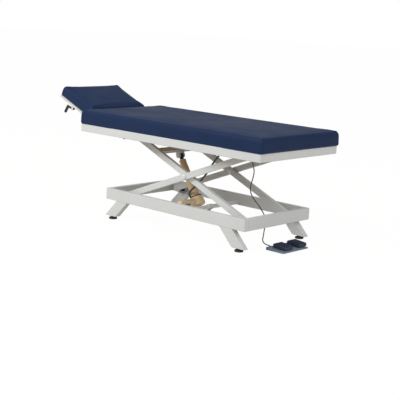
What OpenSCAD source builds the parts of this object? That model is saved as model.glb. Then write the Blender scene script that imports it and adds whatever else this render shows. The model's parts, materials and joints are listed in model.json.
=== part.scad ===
// Electric examination table: scissor lift, fixed mattress and a hinged head section.
// +X points to the foot end, -Y to the side with the head release lever, +Z up.
// The origin lies on the floor, under the middle of the whole table.

/* [Base frame] */
// Length of the base frame
base_len = 1115; // [1000:5:1300]
// Width of the base frame
base_w = 576; // [500:2:640]
// Height of the base rails
base_rail_h = 68; // [50:1:80]
// Thickness of the base rails, across the rail
base_rail_t = 30; // [25:1:40]
// Height of the underside of the base rails above the floor
base_clear = 119; // [100:1:160]
// Wall of the rectangular steel tubes
tube_wall = 2; // [1.5:0.1:3]
// Diameter of the base cross tube that carries the actuator
base_cross_d = 25; // [20:1:30]
// Distance of the base cross tube from the middle of the base, towards the foot end
base_cross_x = 36; // [20:1:80]
// Height of the middle of the base cross tube
base_cross_z = 137; // [134:1:150]

/* [Legs] */
// Width of a leg, square to its length
leg_w = 66; // [50:1:75]
// Thickness of a leg
leg_t = 38; // [28:1:42]
// Lean of the legs from the vertical
leg_lean = 44; // [30:1:48]
// Distance from the end of the base to the outer edge of a leg where it meets the rail
leg_inset = 93; // [80:1:140]
// Height of the cut under a leg
leg_end_z = 18; // [14:1:30]
// Diameter of a floor pad
pad_d = 50; // [40:1:56]
// Distance of the floor pads from the end of the base
pad_inset = 47; // [42:1:60]

/* [Scissor] */
// Distance from the middle pivot of an arm to either end pivot
arm_half = 498; // [470:1:530]
// Angle of the pivot lines of the arms above the floor in the stored pose
arm_angle = 21.95; // [21.5:0.05:24]
// Turn of the arm tubes about their middle pivot, away from their pivot lines
arm_skew = 0.75; // [0:0.05:1]
// Height of the arm section
arm_h = 35; // [34:1:44]
// Thickness of the arm section
arm_t = 22; // [18:1:26]
// Gap between an outer and an inner arm
arm_gap = 3; // [2.5:0.5:6]
// Distance between the outer faces of the outer arms
arm_span = 441; // [420:1:460]
// Height of the lower pivots
pivot_z = 150; // [140:1:160]
// Distance of the fixed pivots from the foot end of the base
pivot_inset = 67; // [60:1:80]
// Diameter of the pivot pins
pivot_d = 16; // [12:1:20]
// Radial clearance of a pin that turns in its bore
run_fit = 0.05; // [0.02:0.01:0.1]
// Lowest angle of the arms
arm_low = 21.45; // [20:0.05:21.45]
// Highest angle of the arms
arm_high = 35.95; // [30:0.05:36]
// Distance of the lifting cross tube from the middle pivot
lift_tube_at = 286.5; // [280:1:310]
// Diameter of the pin caps
cap_d = 34; // [26:1:34]

/* [Slides] */
// Length of a slide block
block_len = 40; // [30:1:50]
// Height of a slide block
block_h = 32; // [26:1:40]
// Thickness of a slide block
block_t = 22; // [16:1:26]
// Wall of the slide guides
guide_wall = 3; // [2:0.5:4]
// Clearance of a slide block in its guide
slide_gap = 0.4; // [0.3:0.1:1]

/* [Top frame] */
// Length of the top frame
top_len = 1428; // [1300:2:1600]
// Width of the top frame
top_w = 680; // [600:2:720]
// Height of the top rails
top_rail_h = 46; // [40:1:60]
// Thickness of the top rails
top_rail_t = 30; // [25:1:40]
// Overhang of the top frame beyond the foot end of the base
top_over = 122; // [60:1:180]
// Height of the upper pivots above the underside of the top rails
top_pivot_rise = 6; // [2:0.5:14]
// Thickness of the panels under the upholstery
board_t = 10; // [8:1:16]

/* [Mattress] */
// Overhang of the mattress beyond the foot end of the top frame
mattress_over = 11; // [0:1:25]
// Overhang of the mattress on each long side
mattress_side = 6; // [0:1:20]
// Height of the mattress at its edge
mattress_h = 87; // [60:1:120]
// Rise of the middle of the upholstery above its edge
crown = 4; // [1:0.5:10]
// Radius of the upper edge of the upholstery
edge_r = 17; // [8:1:20]
// Radius of the upholstery's corners, seen from above
corner_r = 14; // [12:1:45]
// Distance from the head hinge to the mattress
mattress_gap = 13; // [12:1:20]

/* [Head section] */
// Angle of the head section above the flat in the stored pose
head_angle = 22.5; // [15:0.5:30]
// Length of the head section from its hinge
head_len = 338; // [300:1:400]
// Width of the head cushion
head_w = 462; // [400:2:520]
// Thickness of the head cushion at its edge
head_h = 66; // [50:1:90]
// Distance from the hinge to the head cushion
head_gap = 38; // [32:1:60]
// Height of the bars of the head frame
head_bar_h = 15; // [12:1:20]
// Width of the bars of the head frame
head_bar_w = 20; // [15:1:30]
// Height of the underside of the head frame above its hinge
head_rise = 8; // [6:0.5:12]
// Distance of the head hinge from the head end of the top frame
hinge_out = 27; // [24:1:34]
// Depth of the head hinge under the top of the rails
hinge_drop = 10; // [10:0.5:14]
// Diameter of the head hinge pins
hinge_d = 10; // [8:1:12]

/* [Actuator] */
// Place of the lower actuator pin along the base
act_x = -37; // [-45:1:-30]
// Height of the lower actuator pin
act_z = 113; // [108:1:120]
// Height of the gear housing, along the spindle
gear_h = 55; // [50:1:60]
// Diameter of the gear housing
gear_d = 86; // [84:1:88]
// Diameter of the gear housing at its top
gear_top_d = 72; // [70:1:76]
// Radius of the guide tube where it meets the housing
tube_r0 = 26; // [22:1:27]
// Radius of the guide tube at its mouth
tube_r1 = 20; // [15:1:21]
// Distance from the lower pin to the mouth of the guide tube
tube_mouth = 318; // [300:1:320]
// Diameter of the push rod
rod_d = 20; // [16:1:24]
// Diameter of the motor
motor_d = 46; // [40:1:48]
// Length of the motor
motor_len = 119; // [90:1:122]

/* [Gas spring] */
// Diameter of the gas cylinder
gas_d = 20; // [16:1:24]
// Diameter of the piston rod
gas_rod_d = 8; // [6:1:10]
// Distance of the gas spring pins from the head hinge
gas_arm = 112.7; // [108:0.1:118]

/* [Foot switch] */
// Depth of the foot switch plate
switch_l = 126; // [110:1:150]
// Width of the foot switch plate
switch_w = 225; // [190:1:240]
// Height of the plate at its back
switch_h = 15; // [12:1:20]
// Height of the plate at its front
switch_front_h = 7; // [5:1:10]
// Distance of the foot switch from the foot end of the base
switch_out = 14; // [14:1:16]
// Place of the middle of the foot switch across the table
switch_y = -2.5; // [-6:0.5:0]
// Width of a pedal
pedal_w = 68; // [60:1:76]
// Length of a pedal
pedal_l = 86; // [80:1:90]
// Distance between the middles of the pedals
pedal_pitch = 123; // [112:1:126]
// Distance from the middle of the plate to the middle between the pedals
pedal_shift = 13; // [0:1:14]

/* [Cables] */
// Diameter of the foot switch cable
foot_cable_d = 6; // [5:0.5:8]
// Diameter of the ribbed motor cable
motor_cable_d = 12; // [10:0.5:14]
// Spacing of the ribs on the motor cable
rib_pitch = 5; // [4:0.5:8]

/* [Hidden] */

$fn = 64;

// Colours of the finishes
enamel = "#E0E2E1";
navy = "#2C3A5A";
tan_case = "#C7A871";
black = "#2A2B2E";
steel = "#B8BABD";
bronze = "#B08D4F";
plywood = "#B08A5B";

// Gap between pieces that lie against each other
rest_gap = 0.3;
// Gap beside a plate that turns next to another
side_gap = 0.4;
// Length of a pin that shows beyond the last plate
pin_over = 3;

// Places along the table, counted from the middle of the base
bar_proud = 2;
bar_end = head_len + bar_proud;
top_foot_rel = base_len / 2 + top_over;
top_head_rel = top_foot_rel - top_len;
hinge_rel = top_head_rel - hinge_out;
low_rel = hinge_rel - bar_end * cos(head_angle) + head_rise * sin(head_angle);
high_rel = max(base_len / 2 + switch_out + switch_l, top_foot_rel + mattress_over);
base_x = -(low_rel + high_rel) / 2;

// Base frame
base_foot_x = base_x + base_len / 2;
base_head_x = base_x - base_len / 2;
base_rail_in = base_w / 2 - base_rail_t;
leg_drop = base_clear - leg_end_z;
leg_across = leg_w / cos(leg_lean);
leg_corner_r = 15;
pad_h = 8;
pad_edge = 3;
pad_stem_d = 12;
bolt_d = 16;
bolt_h = 12;
cross_x = base_x + base_cross_x;

// Scissor
low_x = base_foot_x - pivot_inset;
mid_x = low_x - arm_half * cos(arm_angle);
slide_x = low_x - 2 * arm_half * cos(arm_angle);
mid_z = pivot_z + arm_half * sin(arm_angle);
inner_lean = arm_angle + arm_skew;
outer_lean = arm_angle - arm_skew;
high_z = pivot_z + 2 * arm_half * sin(arm_angle);
outer_out = arm_span / 2;
outer_in = outer_out - arm_t;
inner_out = outer_in - arm_gap;
inner_in = inner_out - arm_t;
sleeve_wall = 4;
bush_wall = 4;
pin_head_d = pivot_d + 8;
pin_head_h = 4;
cap_h = 8;
cap_skirt = 3;
lift_tube_w = 40;
lift_tube_h = 20;
outer_tube_at = 430;
outer_tube_w = 25;
washer_d = 34;

// Slides
guide_back_y = base_rail_in - guide_wall;
block_y1 = guide_back_y - slide_gap;
block_y0 = block_y1 - block_t;
guide_lip = 1;
guide_h = block_h + 2 * (slide_gap + guide_wall);
guide_spare = 20;
slide_back = 2 * arm_half * (cos(arm_low) - cos(arm_angle));
slide_ahead = 2 * arm_half * (cos(arm_angle) - cos(arm_high));
guide_x0 = slide_x - slide_back - block_len / 2 - guide_spare;
guide_x1 = slide_x + slide_ahead + block_len / 2 + guide_spare;

// Top frame
top_foot_x = base_x + top_foot_rel;
top_head_x = base_x + top_head_rel;
top_z0 = high_z - top_pivot_rise;
top_z1 = top_z0 + top_rail_h;
top_rail_in = top_w / 2 - top_rail_t;
arm_clear = 7.5;
cross_z0 = high_z + arm_h / 2 + arm_clear;
cross_w = 40;
bracket_t = 8;
bracket_r = 16;
bracket_w = 48;
panel_inset = 8;

// Control box under the panel
box_l = 160;
box_w = 140;
box_h = 53;
box_corner = 8;
inlet_size = [12, 28, 22];
inlet_in = 30;
box_x = base_x + 150;
box_y = -100;
box_cross_x = box_x + box_l / 2;

// Head section
hinge_x = base_x + hinge_rel;
hinge_z = top_z1 - hinge_drop;
bar_start = 12;
bar_out = head_w / 2 + bar_proud;
bar_in = bar_out - head_bar_w;
bar_mid = (bar_in + bar_out) / 2;
bar_top = head_rise + head_bar_h;
foot_bar_u = head_gap + 2;
lug_t = 10;
lug_r = 9.5;
lug_end = 46;
fork_t = 6;
fork_gap = 0.6;

// Gas spring, counted from its pin on the top frame
gas_drop = 60;
gas_lug = 3;
gas_pin_d = 8;
gas_play = 3;
gas_eye_r = 12;
gas_body_at = 44;
gas_body_len = 106;
gas_rod_len = 99;
gas_frame = [hinge_x + gas_arm * cos(gas_drop), hinge_z - gas_arm * sin(gas_drop)];
gas_head = [hinge_x - gas_arm * cos(head_angle - gas_lug),
    hinge_z + gas_arm * sin(head_angle - gas_lug)];
gas_length = norm(gas_head - gas_frame);
gas_bar_u = gas_arm * cos(gas_lug);
gas_bar_v = -gas_arm * sin(gas_lug);
gas_bar_w = 25;
gas_plate_y = 6.4;
gas_plate_t = 5;
gas_plate_in = 6;
gas_ear_y = 5.6;
gas_ear_t = 6;
gas_pin_half = 14;
gas_link_half = 6;
gas_eye_half = 5;
gas_bottom = 4;

// Release lever, in the head section's own directions
lever_u = 205;
lever_v = -8;
lever_elbow = [256, -16];
lever_tip = [264, -57];
lever_d = 14;
grip_d = 18;
lever_pin_d = 6;
lever_plate_t = 2.4;
lever_gap = 0.5;
lever_pin_over = 4;

// Actuator, counted from its lower pin
eye_ahead = 28;
eye_drop = 26;
eye_local = [-(lift_tube_at - eye_ahead), -eye_drop];
rod_pin = [mid_x + eye_local[0] * cos(inner_lean) + eye_local[1] * sin(inner_lean),
    mid_z - eye_local[0] * sin(inner_lean) + eye_local[1] * cos(inner_lean)];
act_pin = [base_x + act_x, act_z];
eye_at = norm(rod_pin - act_pin);
act_pin_d = 12;
rod_pin_d = 10;
gear_at = 20;
gear_edge = 5;
gear_shoulder = 20;
motor_at = 45;
motor_from = 47;
motor_dome = 12;
collar_wall = 2;
ear_w = 16;
ear_r = 10;
gasket_r = gear_top_d / 2 + 0.5;
gasket_h = 6;
tube_at = gear_at + gear_h + gasket_h;
rod_spare = 20;
rod_from = tube_at + rod_spare;
eye_r = 12;
eye_w = 30;
eye_neck = 27;
clevis_t = 6;
clevis_r = 17;
clevis_slot = 12;
clevis_slot_lean = 38;
clevis_foot = 30;
clevis_up = 14;
clevis_touch = [0.8, 0.6];
clevis_reach = 50;
clevis_gap = 1;
rod_disc_d = 23;
rod_disc_h = 3;
act_bracket_t = 6;
act_bracket_r = 11;

// Foot switch
switch_x = base_foot_x + switch_out;
pedal_back = 28;
pedal_x = switch_x + pedal_back;
pedal_top_back = 38;
pedal_top_front = 31;
pedal_gap_back = 2.5;
pedal_gap_front = 5.5;
pedal_pin_at = 10;
pedal_pin_rise = 8;
pedal_pin_d = 5;
pedal_lug_w = 16;
pedal_lug_gap = 0.6;
pedal_edge = 5;
plate_corner = 6;

// Cable clip on the foot rail of the base
clip_h = 16;
clip_d = 14;
clip_at = [base_foot_x - base_rail_t - 15, -62, 142];

// Directions of the motor cable where its two lengths meet, and where it enters the housing
joint_way = unit([-87, 1, -110]);
joint_gap = 0.4;
housing_way = unit([act_pin[0] - rod_pin[0], 0, act_pin[1] - rod_pin[1]]);

// Routes of the cables, as points counted from the middle of the base
foot_cable_upper_route = [[310, -60, 520], [335, -62, 520], [400, -110, 528], [460, -158, 532],
    [492, -177, 523], [502, -181, 502], [502, -183, 479], [502, -178, 461], [502, -169, 438],
    [502, -170, 413], [502, -179, 386], [502, -189, 358], [502, -190, 332], [502, -178, 303],
    [502, -147, 269], [502, -109, 234], [503, -84, 207], [508, -66, 180], [512.5, -62, 158]];
foot_cable_lower_route = [[512.5, -62, 142], [512, -59, 126], [508, -56, 98], [505, -57, 64],
    [504, -60, 33], [514, -55, 16], [540, -54, 10], [571.5, -54, 8]];
motor_cable_upper_route = [[156, -50, 494], [155, -50, 481], [131, -50, 456], [83, -44, 402],
    [mid_x - base_x, -34, mid_z]];
motor_cable_lower_route = [[mid_x - base_x, -34, mid_z] + joint_gap * joint_way, [-4, -43, 292],
    [-39, -46, 256], [-66, -45, 233], [-89, -41, 212], [-107, -29, 195], [-114, -11, 177],
    [-106.9, -5, 165.5]];
foot_cable_step = 2;
motor_cable_step = 4;
cable_sides = 8;
rib_h = 1;
conduit_wall = 2;

module both_sides() {
    children();
    mirror([0, 1, 0]) children();
}

// A flat shape, drawn along the table and upwards, given a thickness across the table
module y_slab(y0, y1) {
    translate([0, y1, 0]) rotate([90, 0, 0]) linear_extrude(y1 - y0) children();
}

// A round bar across the table
module y_rod(x, z, y0, y1, d) {
    translate([x, y0, z]) rotate([-90, 0, 0]) cylinder(d = d, h = y1 - y0);
}

// A round bar between two points of one lengthwise plane
module rod_between(p, q, y, d) {
    lean = atan2(q[0] - p[0], q[1] - p[1]);
    translate([p[0], y, p[1]]) rotate([0, lean, 0]) cylinder(d = d, h = norm(q - p));
}

// A slice of a ball, flat below
module dome(d, h) {
    r = (d * d / 4 + h * h) / (2 * h);
    intersection() {
        translate([0, 0, h - r]) sphere(r);
        cylinder(d = d, h = h);
    }
}

// A rectangular tube with closed ends
module closed_tube(size) {
    difference() {
        cube(size);
        translate([tube_wall, tube_wall, tube_wall])
            cube(size - 2 * [tube_wall, tube_wall, tube_wall]);
    }
}

module rounded_square(l, w, r) {
    square([l - 2 * r, w], center = true);
    square([l, w - 2 * r], center = true);
    for (i = [-1, 1], j = [-1, 1])
        translate([i * (l / 2 - r), j * (w / 2 - r)]) circle(r);
}

// Directions of the pivot lines of the inner and the outer arms, from the middle pivot
module inner_frame() {
    translate([mid_x, 0, mid_z]) rotate([0, arm_angle, 0]) children();
}

module outer_frame() {
    translate([mid_x, 0, mid_z]) rotate([0, -arm_angle, 0]) children();
}

// Directions of the tubes of the arms themselves
module inner_tube_frame() {
    translate([mid_x, 0, mid_z]) rotate([0, inner_lean, 0]) children();
}

module outer_tube_frame() {
    translate([mid_x, 0, mid_z]) rotate([0, -outer_lean, 0]) children();
}

// Directions of the head section: outwards from the hinge, and upwards from its frame
module head_frame() {
    translate([hinge_x, 0, hinge_z]) rotate([0, head_angle, 0]) mirror([1, 0, 0]) children();
}

// Directions of a link that runs from p to q
module link_frame(p, q) {
    translate([p[0], 0, p[1]]) rotate([0, -atan2(q[1] - p[1], q[0] - p[0]), 0]) children();
}

module actuator_frame() {
    link_frame(act_pin, rod_pin) children();
}

// Base frame
module base_side_rail() {
    color(enamel) translate([base_head_x, base_rail_in, base_clear])
        closed_tube([base_len, base_rail_t, base_rail_h]);
}

module base_side_rail_near() {
    mirror([0, 1, 0]) base_side_rail();
}

module base_side_rail_far() {
    base_side_rail();
}

module base_end_rail(x) {
    color(enamel) translate([x, -base_rail_in, base_clear])
        closed_tube([base_rail_t, 2 * base_rail_in, base_rail_h]);
}

module base_head_rail() {
    base_end_rail(base_head_x);
}

module base_foot_rail() {
    base_end_rail(base_foot_x - base_rail_t);
}

// A leg at the foot end, as seen from the side, with the wall taken off where inset is not 0
module leg_outline(inset) {
    across = inset / cos(leg_lean);
    out_x = base_foot_x - leg_inset - across;
    in_x = base_foot_x - leg_inset - leg_across + across;
    top = base_clear - inset;
    low = leg_end_z + inset;
    lean_at = tan(leg_lean);
    r = inset > 0 ? 0 : leg_corner_r;
    corner_x = in_x + (base_clear - low) * lean_at;
    turn = 90 - leg_lean;
    polygon(concat(
        [[in_x + inset * lean_at, top], [out_x + inset * lean_at, top],
            [out_x + (base_clear - low) * lean_at, low]],
        [for (a = [270:-turn / 4:180 + leg_lean])
            [corner_x + r * tan(turn / 2) + r * cos(a), low + r + r * sin(a)]]));
}

module leg_foot_far() {
    color(enamel) difference() {
        y_slab(base_w / 2 - leg_t, base_w / 2) leg_outline(0);
        y_slab(base_w / 2 - leg_t + tube_wall, base_w / 2 - tube_wall) leg_outline(tube_wall);
    }
}

module leg_foot_near() {
    mirror([0, 1, 0]) leg_foot_far();
}

module to_head_end() {
    translate([base_x, 0, 0]) mirror([1, 0, 0]) translate([-base_x, 0, 0]) children();
}

module leg_head_far() {
    to_head_end() leg_foot_far();
}

module leg_head_near() {
    to_head_end() leg_foot_near();
}

module floor_pads() {
    color(black)
        for (i = [-1, 1], j = [-1, 1])
            translate([base_x + i * (base_len / 2 - pad_inset), j * (base_w - leg_t) / 2, 0])
                rotate_extrude()
                    polygon([[0, 0], [pad_d / 2, 0], [pad_d / 2, pad_h],
                        [pad_d / 2 - pad_edge, pad_h + pad_edge], [pad_stem_d / 2, pad_h + pad_edge],
                        [pad_stem_d / 2, leg_end_z], [0, leg_end_z]]);
}

// Channel in which a slide block runs, open towards the middle of the table
module slide_guide(z) {
    depth = base_rail_in - block_y0 + guide_lip;
    translate([guide_x0, base_rail_in - depth, z - guide_h / 2])
        difference() {
            cube([guide_x1 - guide_x0, depth, guide_h]);
            translate([-1, -1, guide_wall])
                cube([guide_x1 - guide_x0 + 2, depth - guide_wall + 1, guide_h - 2 * guide_wall]);
        }
}

module base_slide_guides() {
    color(enamel) both_sides() slide_guide(pivot_z);
}

module base_pivot_bosses() {
    color(enamel) both_sides()
        difference() {
            y_rod(low_x, pivot_z, inner_out + side_gap, base_rail_in, pin_head_d + 10);
            y_rod(low_x, pivot_z, inner_in, base_rail_in + 1, pivot_d + 2 * run_fit);
        }
}

module headed_pin(x, z, y0, y1, d, head_d) {
    y_rod(x, z, y0, y1, d);
    y_rod(x, z, y0 - pin_head_h, y0, head_d);
}

module base_pins() {
    color(steel) {
        both_sides()
            headed_pin(low_x, pivot_z, inner_in - side_gap, base_rail_in, pivot_d, pin_head_d);
        act_half = ear_w / 2 + act_bracket_t + 1 + side_gap;
        headed_pin(act_pin[0], act_pin[1], -act_half, act_half + pin_over, act_pin_d,
            act_pin_d + 6);
        translate([cross_x, 0, base_cross_z - base_cross_d / 2 - bolt_h])
            cylinder(d = bolt_d, h = bolt_h);
    }
}

// Tube across the base, with the two plates that hold the lower actuator pin
module base_cross_tube() {
    tube = [cross_x, base_cross_z];
    way = (tube - act_pin) / norm(tube - act_pin);
    side = [-way[1], way[0]] * act_bracket_r;
    color(enamel) {
        difference() {
            y_rod(cross_x, base_cross_z, -base_rail_in, base_rail_in, base_cross_d);
            y_rod(cross_x, base_cross_z, -base_rail_in + tube_wall, base_rail_in - tube_wall,
                base_cross_d - 2 * tube_wall);
        }
        both_sides() difference() {
            y_slab(ear_w / 2 + 1, ear_w / 2 + 1 + act_bracket_t)
                difference() {
                    union() {
                        translate(act_pin) circle(act_bracket_r);
                        polygon([act_pin - side, tube - side, tube + side, act_pin + side]);
                        translate(tube) circle(base_cross_d / 2 + 5);
                    }
                    translate(tube) circle(d = base_cross_d);
                }
            y_rod(act_pin[0], act_pin[1], 0, ear_w + act_bracket_t, act_pin_d + 2 * run_fit);
        }
    }
}

module foot_cable_clip() {
    color(black) difference() {
        union() {
            translate(clip_at) cylinder(d = clip_d, h = clip_h);
            translate(clip_at + [0, -clip_d / 2, 0])
                cube([base_foot_x - base_rail_t - clip_at[0], clip_d, clip_h]);
        }
        translate(clip_at - [0, 0, 1])
            cylinder(d = foot_cable_d - 1, h = clip_h + 2);
    }
}

// Scissor arms
module arm_outline(r) {
    rotate(-arm_skew) translate([-arm_half, -r]) square([2 * arm_half, 2 * r]);
    for (x = [-arm_half, arm_half], turn = [0, arm_skew])
        rotate(-turn) translate([x, 0]) circle(r);
}

// A closed tube with a welded sleeve at each pivot; mid_d is the bore at the middle
module arm(y0, mid_d) {
    bores = [[-arm_half, pivot_d + 2 * run_fit], [0, mid_d], [arm_half, pivot_d + 2 * run_fit]];
    y1 = y0 + arm_t;
    difference() {
        union() {
            difference() {
                y_slab(y0, y1) arm_outline(arm_h / 2);
                y_slab(y0 + tube_wall, y1 - tube_wall) arm_outline(arm_h / 2 - tube_wall);
            }
            for (b = bores) y_rod(b[0], 0, y0, y1, b[1] + 2 * sleeve_wall);
        }
        for (b = bores) y_rod(b[0], 0, y0 - 1, y1 + 1, b[1]);
    }
}

module inner_arm_far() {
    color(enamel) inner_frame() arm(inner_in, pivot_d + 2 * run_fit);
}

module inner_arm_near() {
    mirror([0, 1, 0]) inner_arm_far();
}

module outer_arm_far() {
    color(enamel) outer_frame() arm(outer_in, pivot_d + 2 * (bush_wall + run_fit));
}

module outer_arm_near() {
    mirror([0, 1, 0]) outer_arm_far();
}

module lifting_cross_tube() {
    color(enamel) inner_tube_frame()
        translate([-lift_tube_at - lift_tube_w / 2, -inner_in, -lift_tube_h / 2])
            closed_tube([lift_tube_w, 2 * inner_in, lift_tube_h]);
}

// Slotted plates: the slot takes up the small change of the pin's place as the arms rise
module rod_clevis() {
    low = -lift_tube_h / 2;
    edge = -lift_tube_at + lift_tube_w / 2;
    color(enamel) inner_tube_frame() both_sides()
        y_slab(eye_w / 2 + clevis_gap, eye_w / 2 + clevis_gap + clevis_t)
            difference() {
                union() {
                    polygon([[edge - clevis_foot, low], [edge, low], [edge, low + clevis_up],
                        eye_local + clevis_r * clevis_touch, eye_local - [0, clevis_r]]);
                    intersection() {
                        translate(eye_local) circle(clevis_r);
                        translate([edge - lift_tube_w, low - clevis_reach])
                            square([lift_tube_w, clevis_reach]);
                    }
                    intersection() {
                        translate(eye_local) circle(clevis_r);
                        translate([edge, low - clevis_reach])
                            square([clevis_reach, clevis_reach + clevis_up]);
                    }
                }
                translate(eye_local) rotate(clevis_slot_lean) {
                    square([clevis_slot, rod_pin_d + 2], center = true);
                    for (i = [-1, 1])
                        translate([i * clevis_slot / 2, 0]) circle(d = rod_pin_d + 2);
                }
            }
}

module middle_pins() {
    color(steel) both_sides() {
        y_rod(mid_x, mid_z, inner_in - 2, outer_out + 2, pivot_d);
        difference() {
            y_rod(mid_x, mid_z, inner_out + rest_gap, outer_in - rest_gap, washer_d);
            y_rod(mid_x, mid_z, inner_out, outer_in, pivot_d + 2 * run_fit);
        }
    }
}

// A cap that covers the end of a middle pin
module pin_cap() {
    difference() {
        union() {
            cylinder(d = cap_d, h = cap_skirt);
            translate([0, 0, cap_skirt]) dome(cap_d, cap_h);
        }
        translate([0, 0, -1]) cylinder(d = pivot_d + 2 * run_fit, h = cap_skirt);
    }
}

module pin_caps() {
    color(enamel) both_sides() {
        translate([mid_x, outer_out + rest_gap, mid_z]) rotate([-90, 0, 0]) pin_cap();
        translate([mid_x, inner_in - rest_gap, mid_z]) rotate([90, 0, 0]) pin_cap();
    }
}

module middle_bushes() {
    color(bronze) both_sides()
        difference() {
            y_rod(mid_x, mid_z, outer_in, outer_out, pivot_d + 2 * (bush_wall + run_fit));
            y_rod(mid_x, mid_z, outer_in - 1, outer_out + 1, pivot_d + 2 * run_fit);
        }
}

// Pin fixed in the end of an arm, with a shoulder that keeps its slide block away from the arm
module slide_pin(z, y_in, y_out) {
    y_rod(slide_x, z, y_in - pin_head_h, y_in, pin_head_d);
    y_rod(slide_x, z, y_in, block_y1 - 2, pivot_d);
    y_rod(slide_x, z, y_out, block_y0 - rest_gap, pin_head_d);
}

module upper_slide_pins() {
    color(steel) both_sides() slide_pin(high_z, inner_in, inner_out);
}

module lower_slide_pins() {
    color(steel) both_sides() slide_pin(pivot_z, outer_in, outer_out);
}

module outer_cross_tube() {
    color(enamel) outer_tube_frame()
        translate([outer_tube_at - outer_tube_w / 2, -outer_in, -outer_tube_w / 2])
            closed_tube([outer_tube_w, 2 * outer_in, outer_tube_w]);
}

module slide_blocks(z) {
    color(black) both_sides()
        difference() {
            translate([slide_x - block_len / 2, block_y0, z - block_h / 2])
                cube([block_len, block_t, block_h]);
            y_rod(slide_x, z, block_y0 - 1, block_y1 + 1, pivot_d + 2 * run_fit);
        }
}

module lower_slide_blocks() {
    slide_blocks(pivot_z);
}

module upper_slide_blocks() {
    slide_blocks(high_z);
}

// Actuator
module gear_housing() {
    color(tan_case) actuator_frame() {
        translate([gear_at, 0, 0]) rotate([0, 90, 0]) {
            cylinder(d1 = gear_d - 2 * gear_edge, d2 = gear_d, h = gear_edge);
            translate([0, 0, gear_edge]) cylinder(d = gear_d, h = gear_shoulder - gear_edge);
            translate([0, 0, gear_shoulder])
                cylinder(d1 = gear_d, d2 = gear_top_d, h = gear_h - gear_shoulder);
        }
        y_rod(motor_at, 0, -motor_from, 0, motor_d + 2 * collar_wall);
        difference() {
            y_slab(-ear_w / 2, ear_w / 2) {
                circle(ear_r);
                translate([0, -ear_r]) square([gear_at, 2 * ear_r]);
            }
            y_rod(0, 0, -ear_w, ear_w, act_pin_d + 2 * run_fit);
        }
    }
}

module actuator_motor() {
    color(tan_case) actuator_frame()
        translate([motor_at, -motor_from, 0]) rotate([90, 0, 0]) {
            cylinder(d = motor_d, h = motor_len - motor_dome);
            translate([0, 0, motor_len - motor_dome]) dome(motor_d, motor_dome);
        }
}

module housing_gasket() {
    color(black) actuator_frame() translate([tube_at - gasket_h, 0, 0]) rotate([0, 90, 0])
        difference() {
            cylinder(r = gasket_r, h = gasket_h);
            translate([0, 0, -1]) cylinder(r = rod_d / 2 + run_fit, h = gasket_h + 2);
        }
}

module guide_tube() {
    length = tube_mouth - tube_at;
    color(tan_case) actuator_frame() translate([tube_at, 0, 0]) rotate([0, 90, 0])
        difference() {
            cylinder(r1 = tube_r0, r2 = tube_r1, h = length);
            translate([0, 0, -1]) cylinder(r = rod_d / 2 + run_fit, h = length + 2);
        }
}

module push_rod() {
    color(steel) actuator_frame() translate([rod_from, 0, 0]) rotate([0, 90, 0])
        cylinder(d = rod_d, h = eye_at - eye_neck - rod_from);
}

module rod_eye() {
    pin_half = eye_w / 2 + clevis_gap + clevis_t + side_gap;
    color(black) actuator_frame() {
        difference() {
            union() {
                y_rod(eye_at, 0, -eye_w / 2, eye_w / 2, 2 * eye_r);
                translate([eye_at - eye_neck, 0, 0]) rotate([0, 90, 0])
                    cylinder(r = eye_r, h = eye_neck);
            }
            y_rod(eye_at, 0, -eye_w, eye_w, rod_pin_d + 2 * run_fit);
        }
        y_rod(eye_at, 0, -pin_half, pin_half, rod_pin_d);
        both_sides() y_rod(eye_at, 0, pin_half, pin_half + rod_disc_h, rod_disc_d);
    }
}

// Top frame
module top_side_rail_far() {
    color(enamel) translate([top_head_x, top_rail_in, top_z0])
        closed_tube([top_len, top_rail_t, top_rail_h]);
}

module top_side_rail_near() {
    mirror([0, 1, 0]) top_side_rail_far();
}

module top_end_rail(x) {
    color(enamel) translate([x, -top_rail_in, top_z0])
        closed_tube([top_rail_t, 2 * top_rail_in, top_rail_h]);
}

module top_head_rail() {
    top_end_rail(top_head_x);
}

module top_foot_rail() {
    top_end_rail(top_foot_x - top_rail_t);
}

module top_cross_rails() {
    color(enamel)
        for (x = [guide_x0 + cross_w / 2, guide_x1 - cross_w / 2, box_cross_x, low_x])
            translate([x - cross_w / 2, -top_rail_in, cross_z0])
                closed_tube([cross_w, 2 * top_rail_in, top_z1 - cross_z0]);
}

module top_slide_guides() {
    guide_top = high_z + guide_h / 2;
    color(enamel) both_sides() {
        slide_guide(high_z);
        for (x = [guide_x0, guide_x1 - cross_w])
            translate([x, block_y0 - guide_lip, guide_top])
                cube([cross_w, base_rail_in - block_y0 + guide_lip, cross_z0 - guide_top]);
    }
}

// Fork plates under the last cross rail that hold the upper ends of the outer arms
module top_pivot_brackets() {
    color(enamel) both_sides()
        for (y = [outer_out + side_gap, outer_in - side_gap - bracket_t])
            difference() {
                y_slab(y, y + bracket_t) {
                    translate([low_x, high_z]) circle(bracket_r);
                    polygon([[low_x - bracket_w / 2, cross_z0], [low_x - bracket_r, high_z],
                        [low_x + bracket_r, high_z], [low_x + bracket_w / 2, cross_z0]]);
                }
                y_rod(low_x, high_z, y - 1, y + bracket_t + 1, pivot_d + 2 * run_fit);
            }
}

module top_pivot_pins() {
    y_in = outer_in - side_gap - bracket_t;
    y_out = outer_out + side_gap + bracket_t;
    color(steel) both_sides() {
        y_rod(low_x, high_z, y_in - 1, y_out, pivot_d);
        y_rod(low_x, high_z, y_out, y_out + pin_head_h, pin_head_d);
    }
}

// Upholstery
// Outline of a cushion drawn in by i, with each side pulled in a little at its middle
function cushion_side(p, q, n, pull) =
    let (way = (q - p) / norm(q - p), inward = [-way[1], way[0]])
    [for (k = [1:n]) let (t = k / (n + 1)) p + t * (q - p) + 4 * pull * t * (1 - t) * inward];

function cushion_corner(c, r, from) =
    [for (k = [0:4]) c + r * [cos(from + k * 22.5), sin(from + k * 22.5)]];

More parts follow.
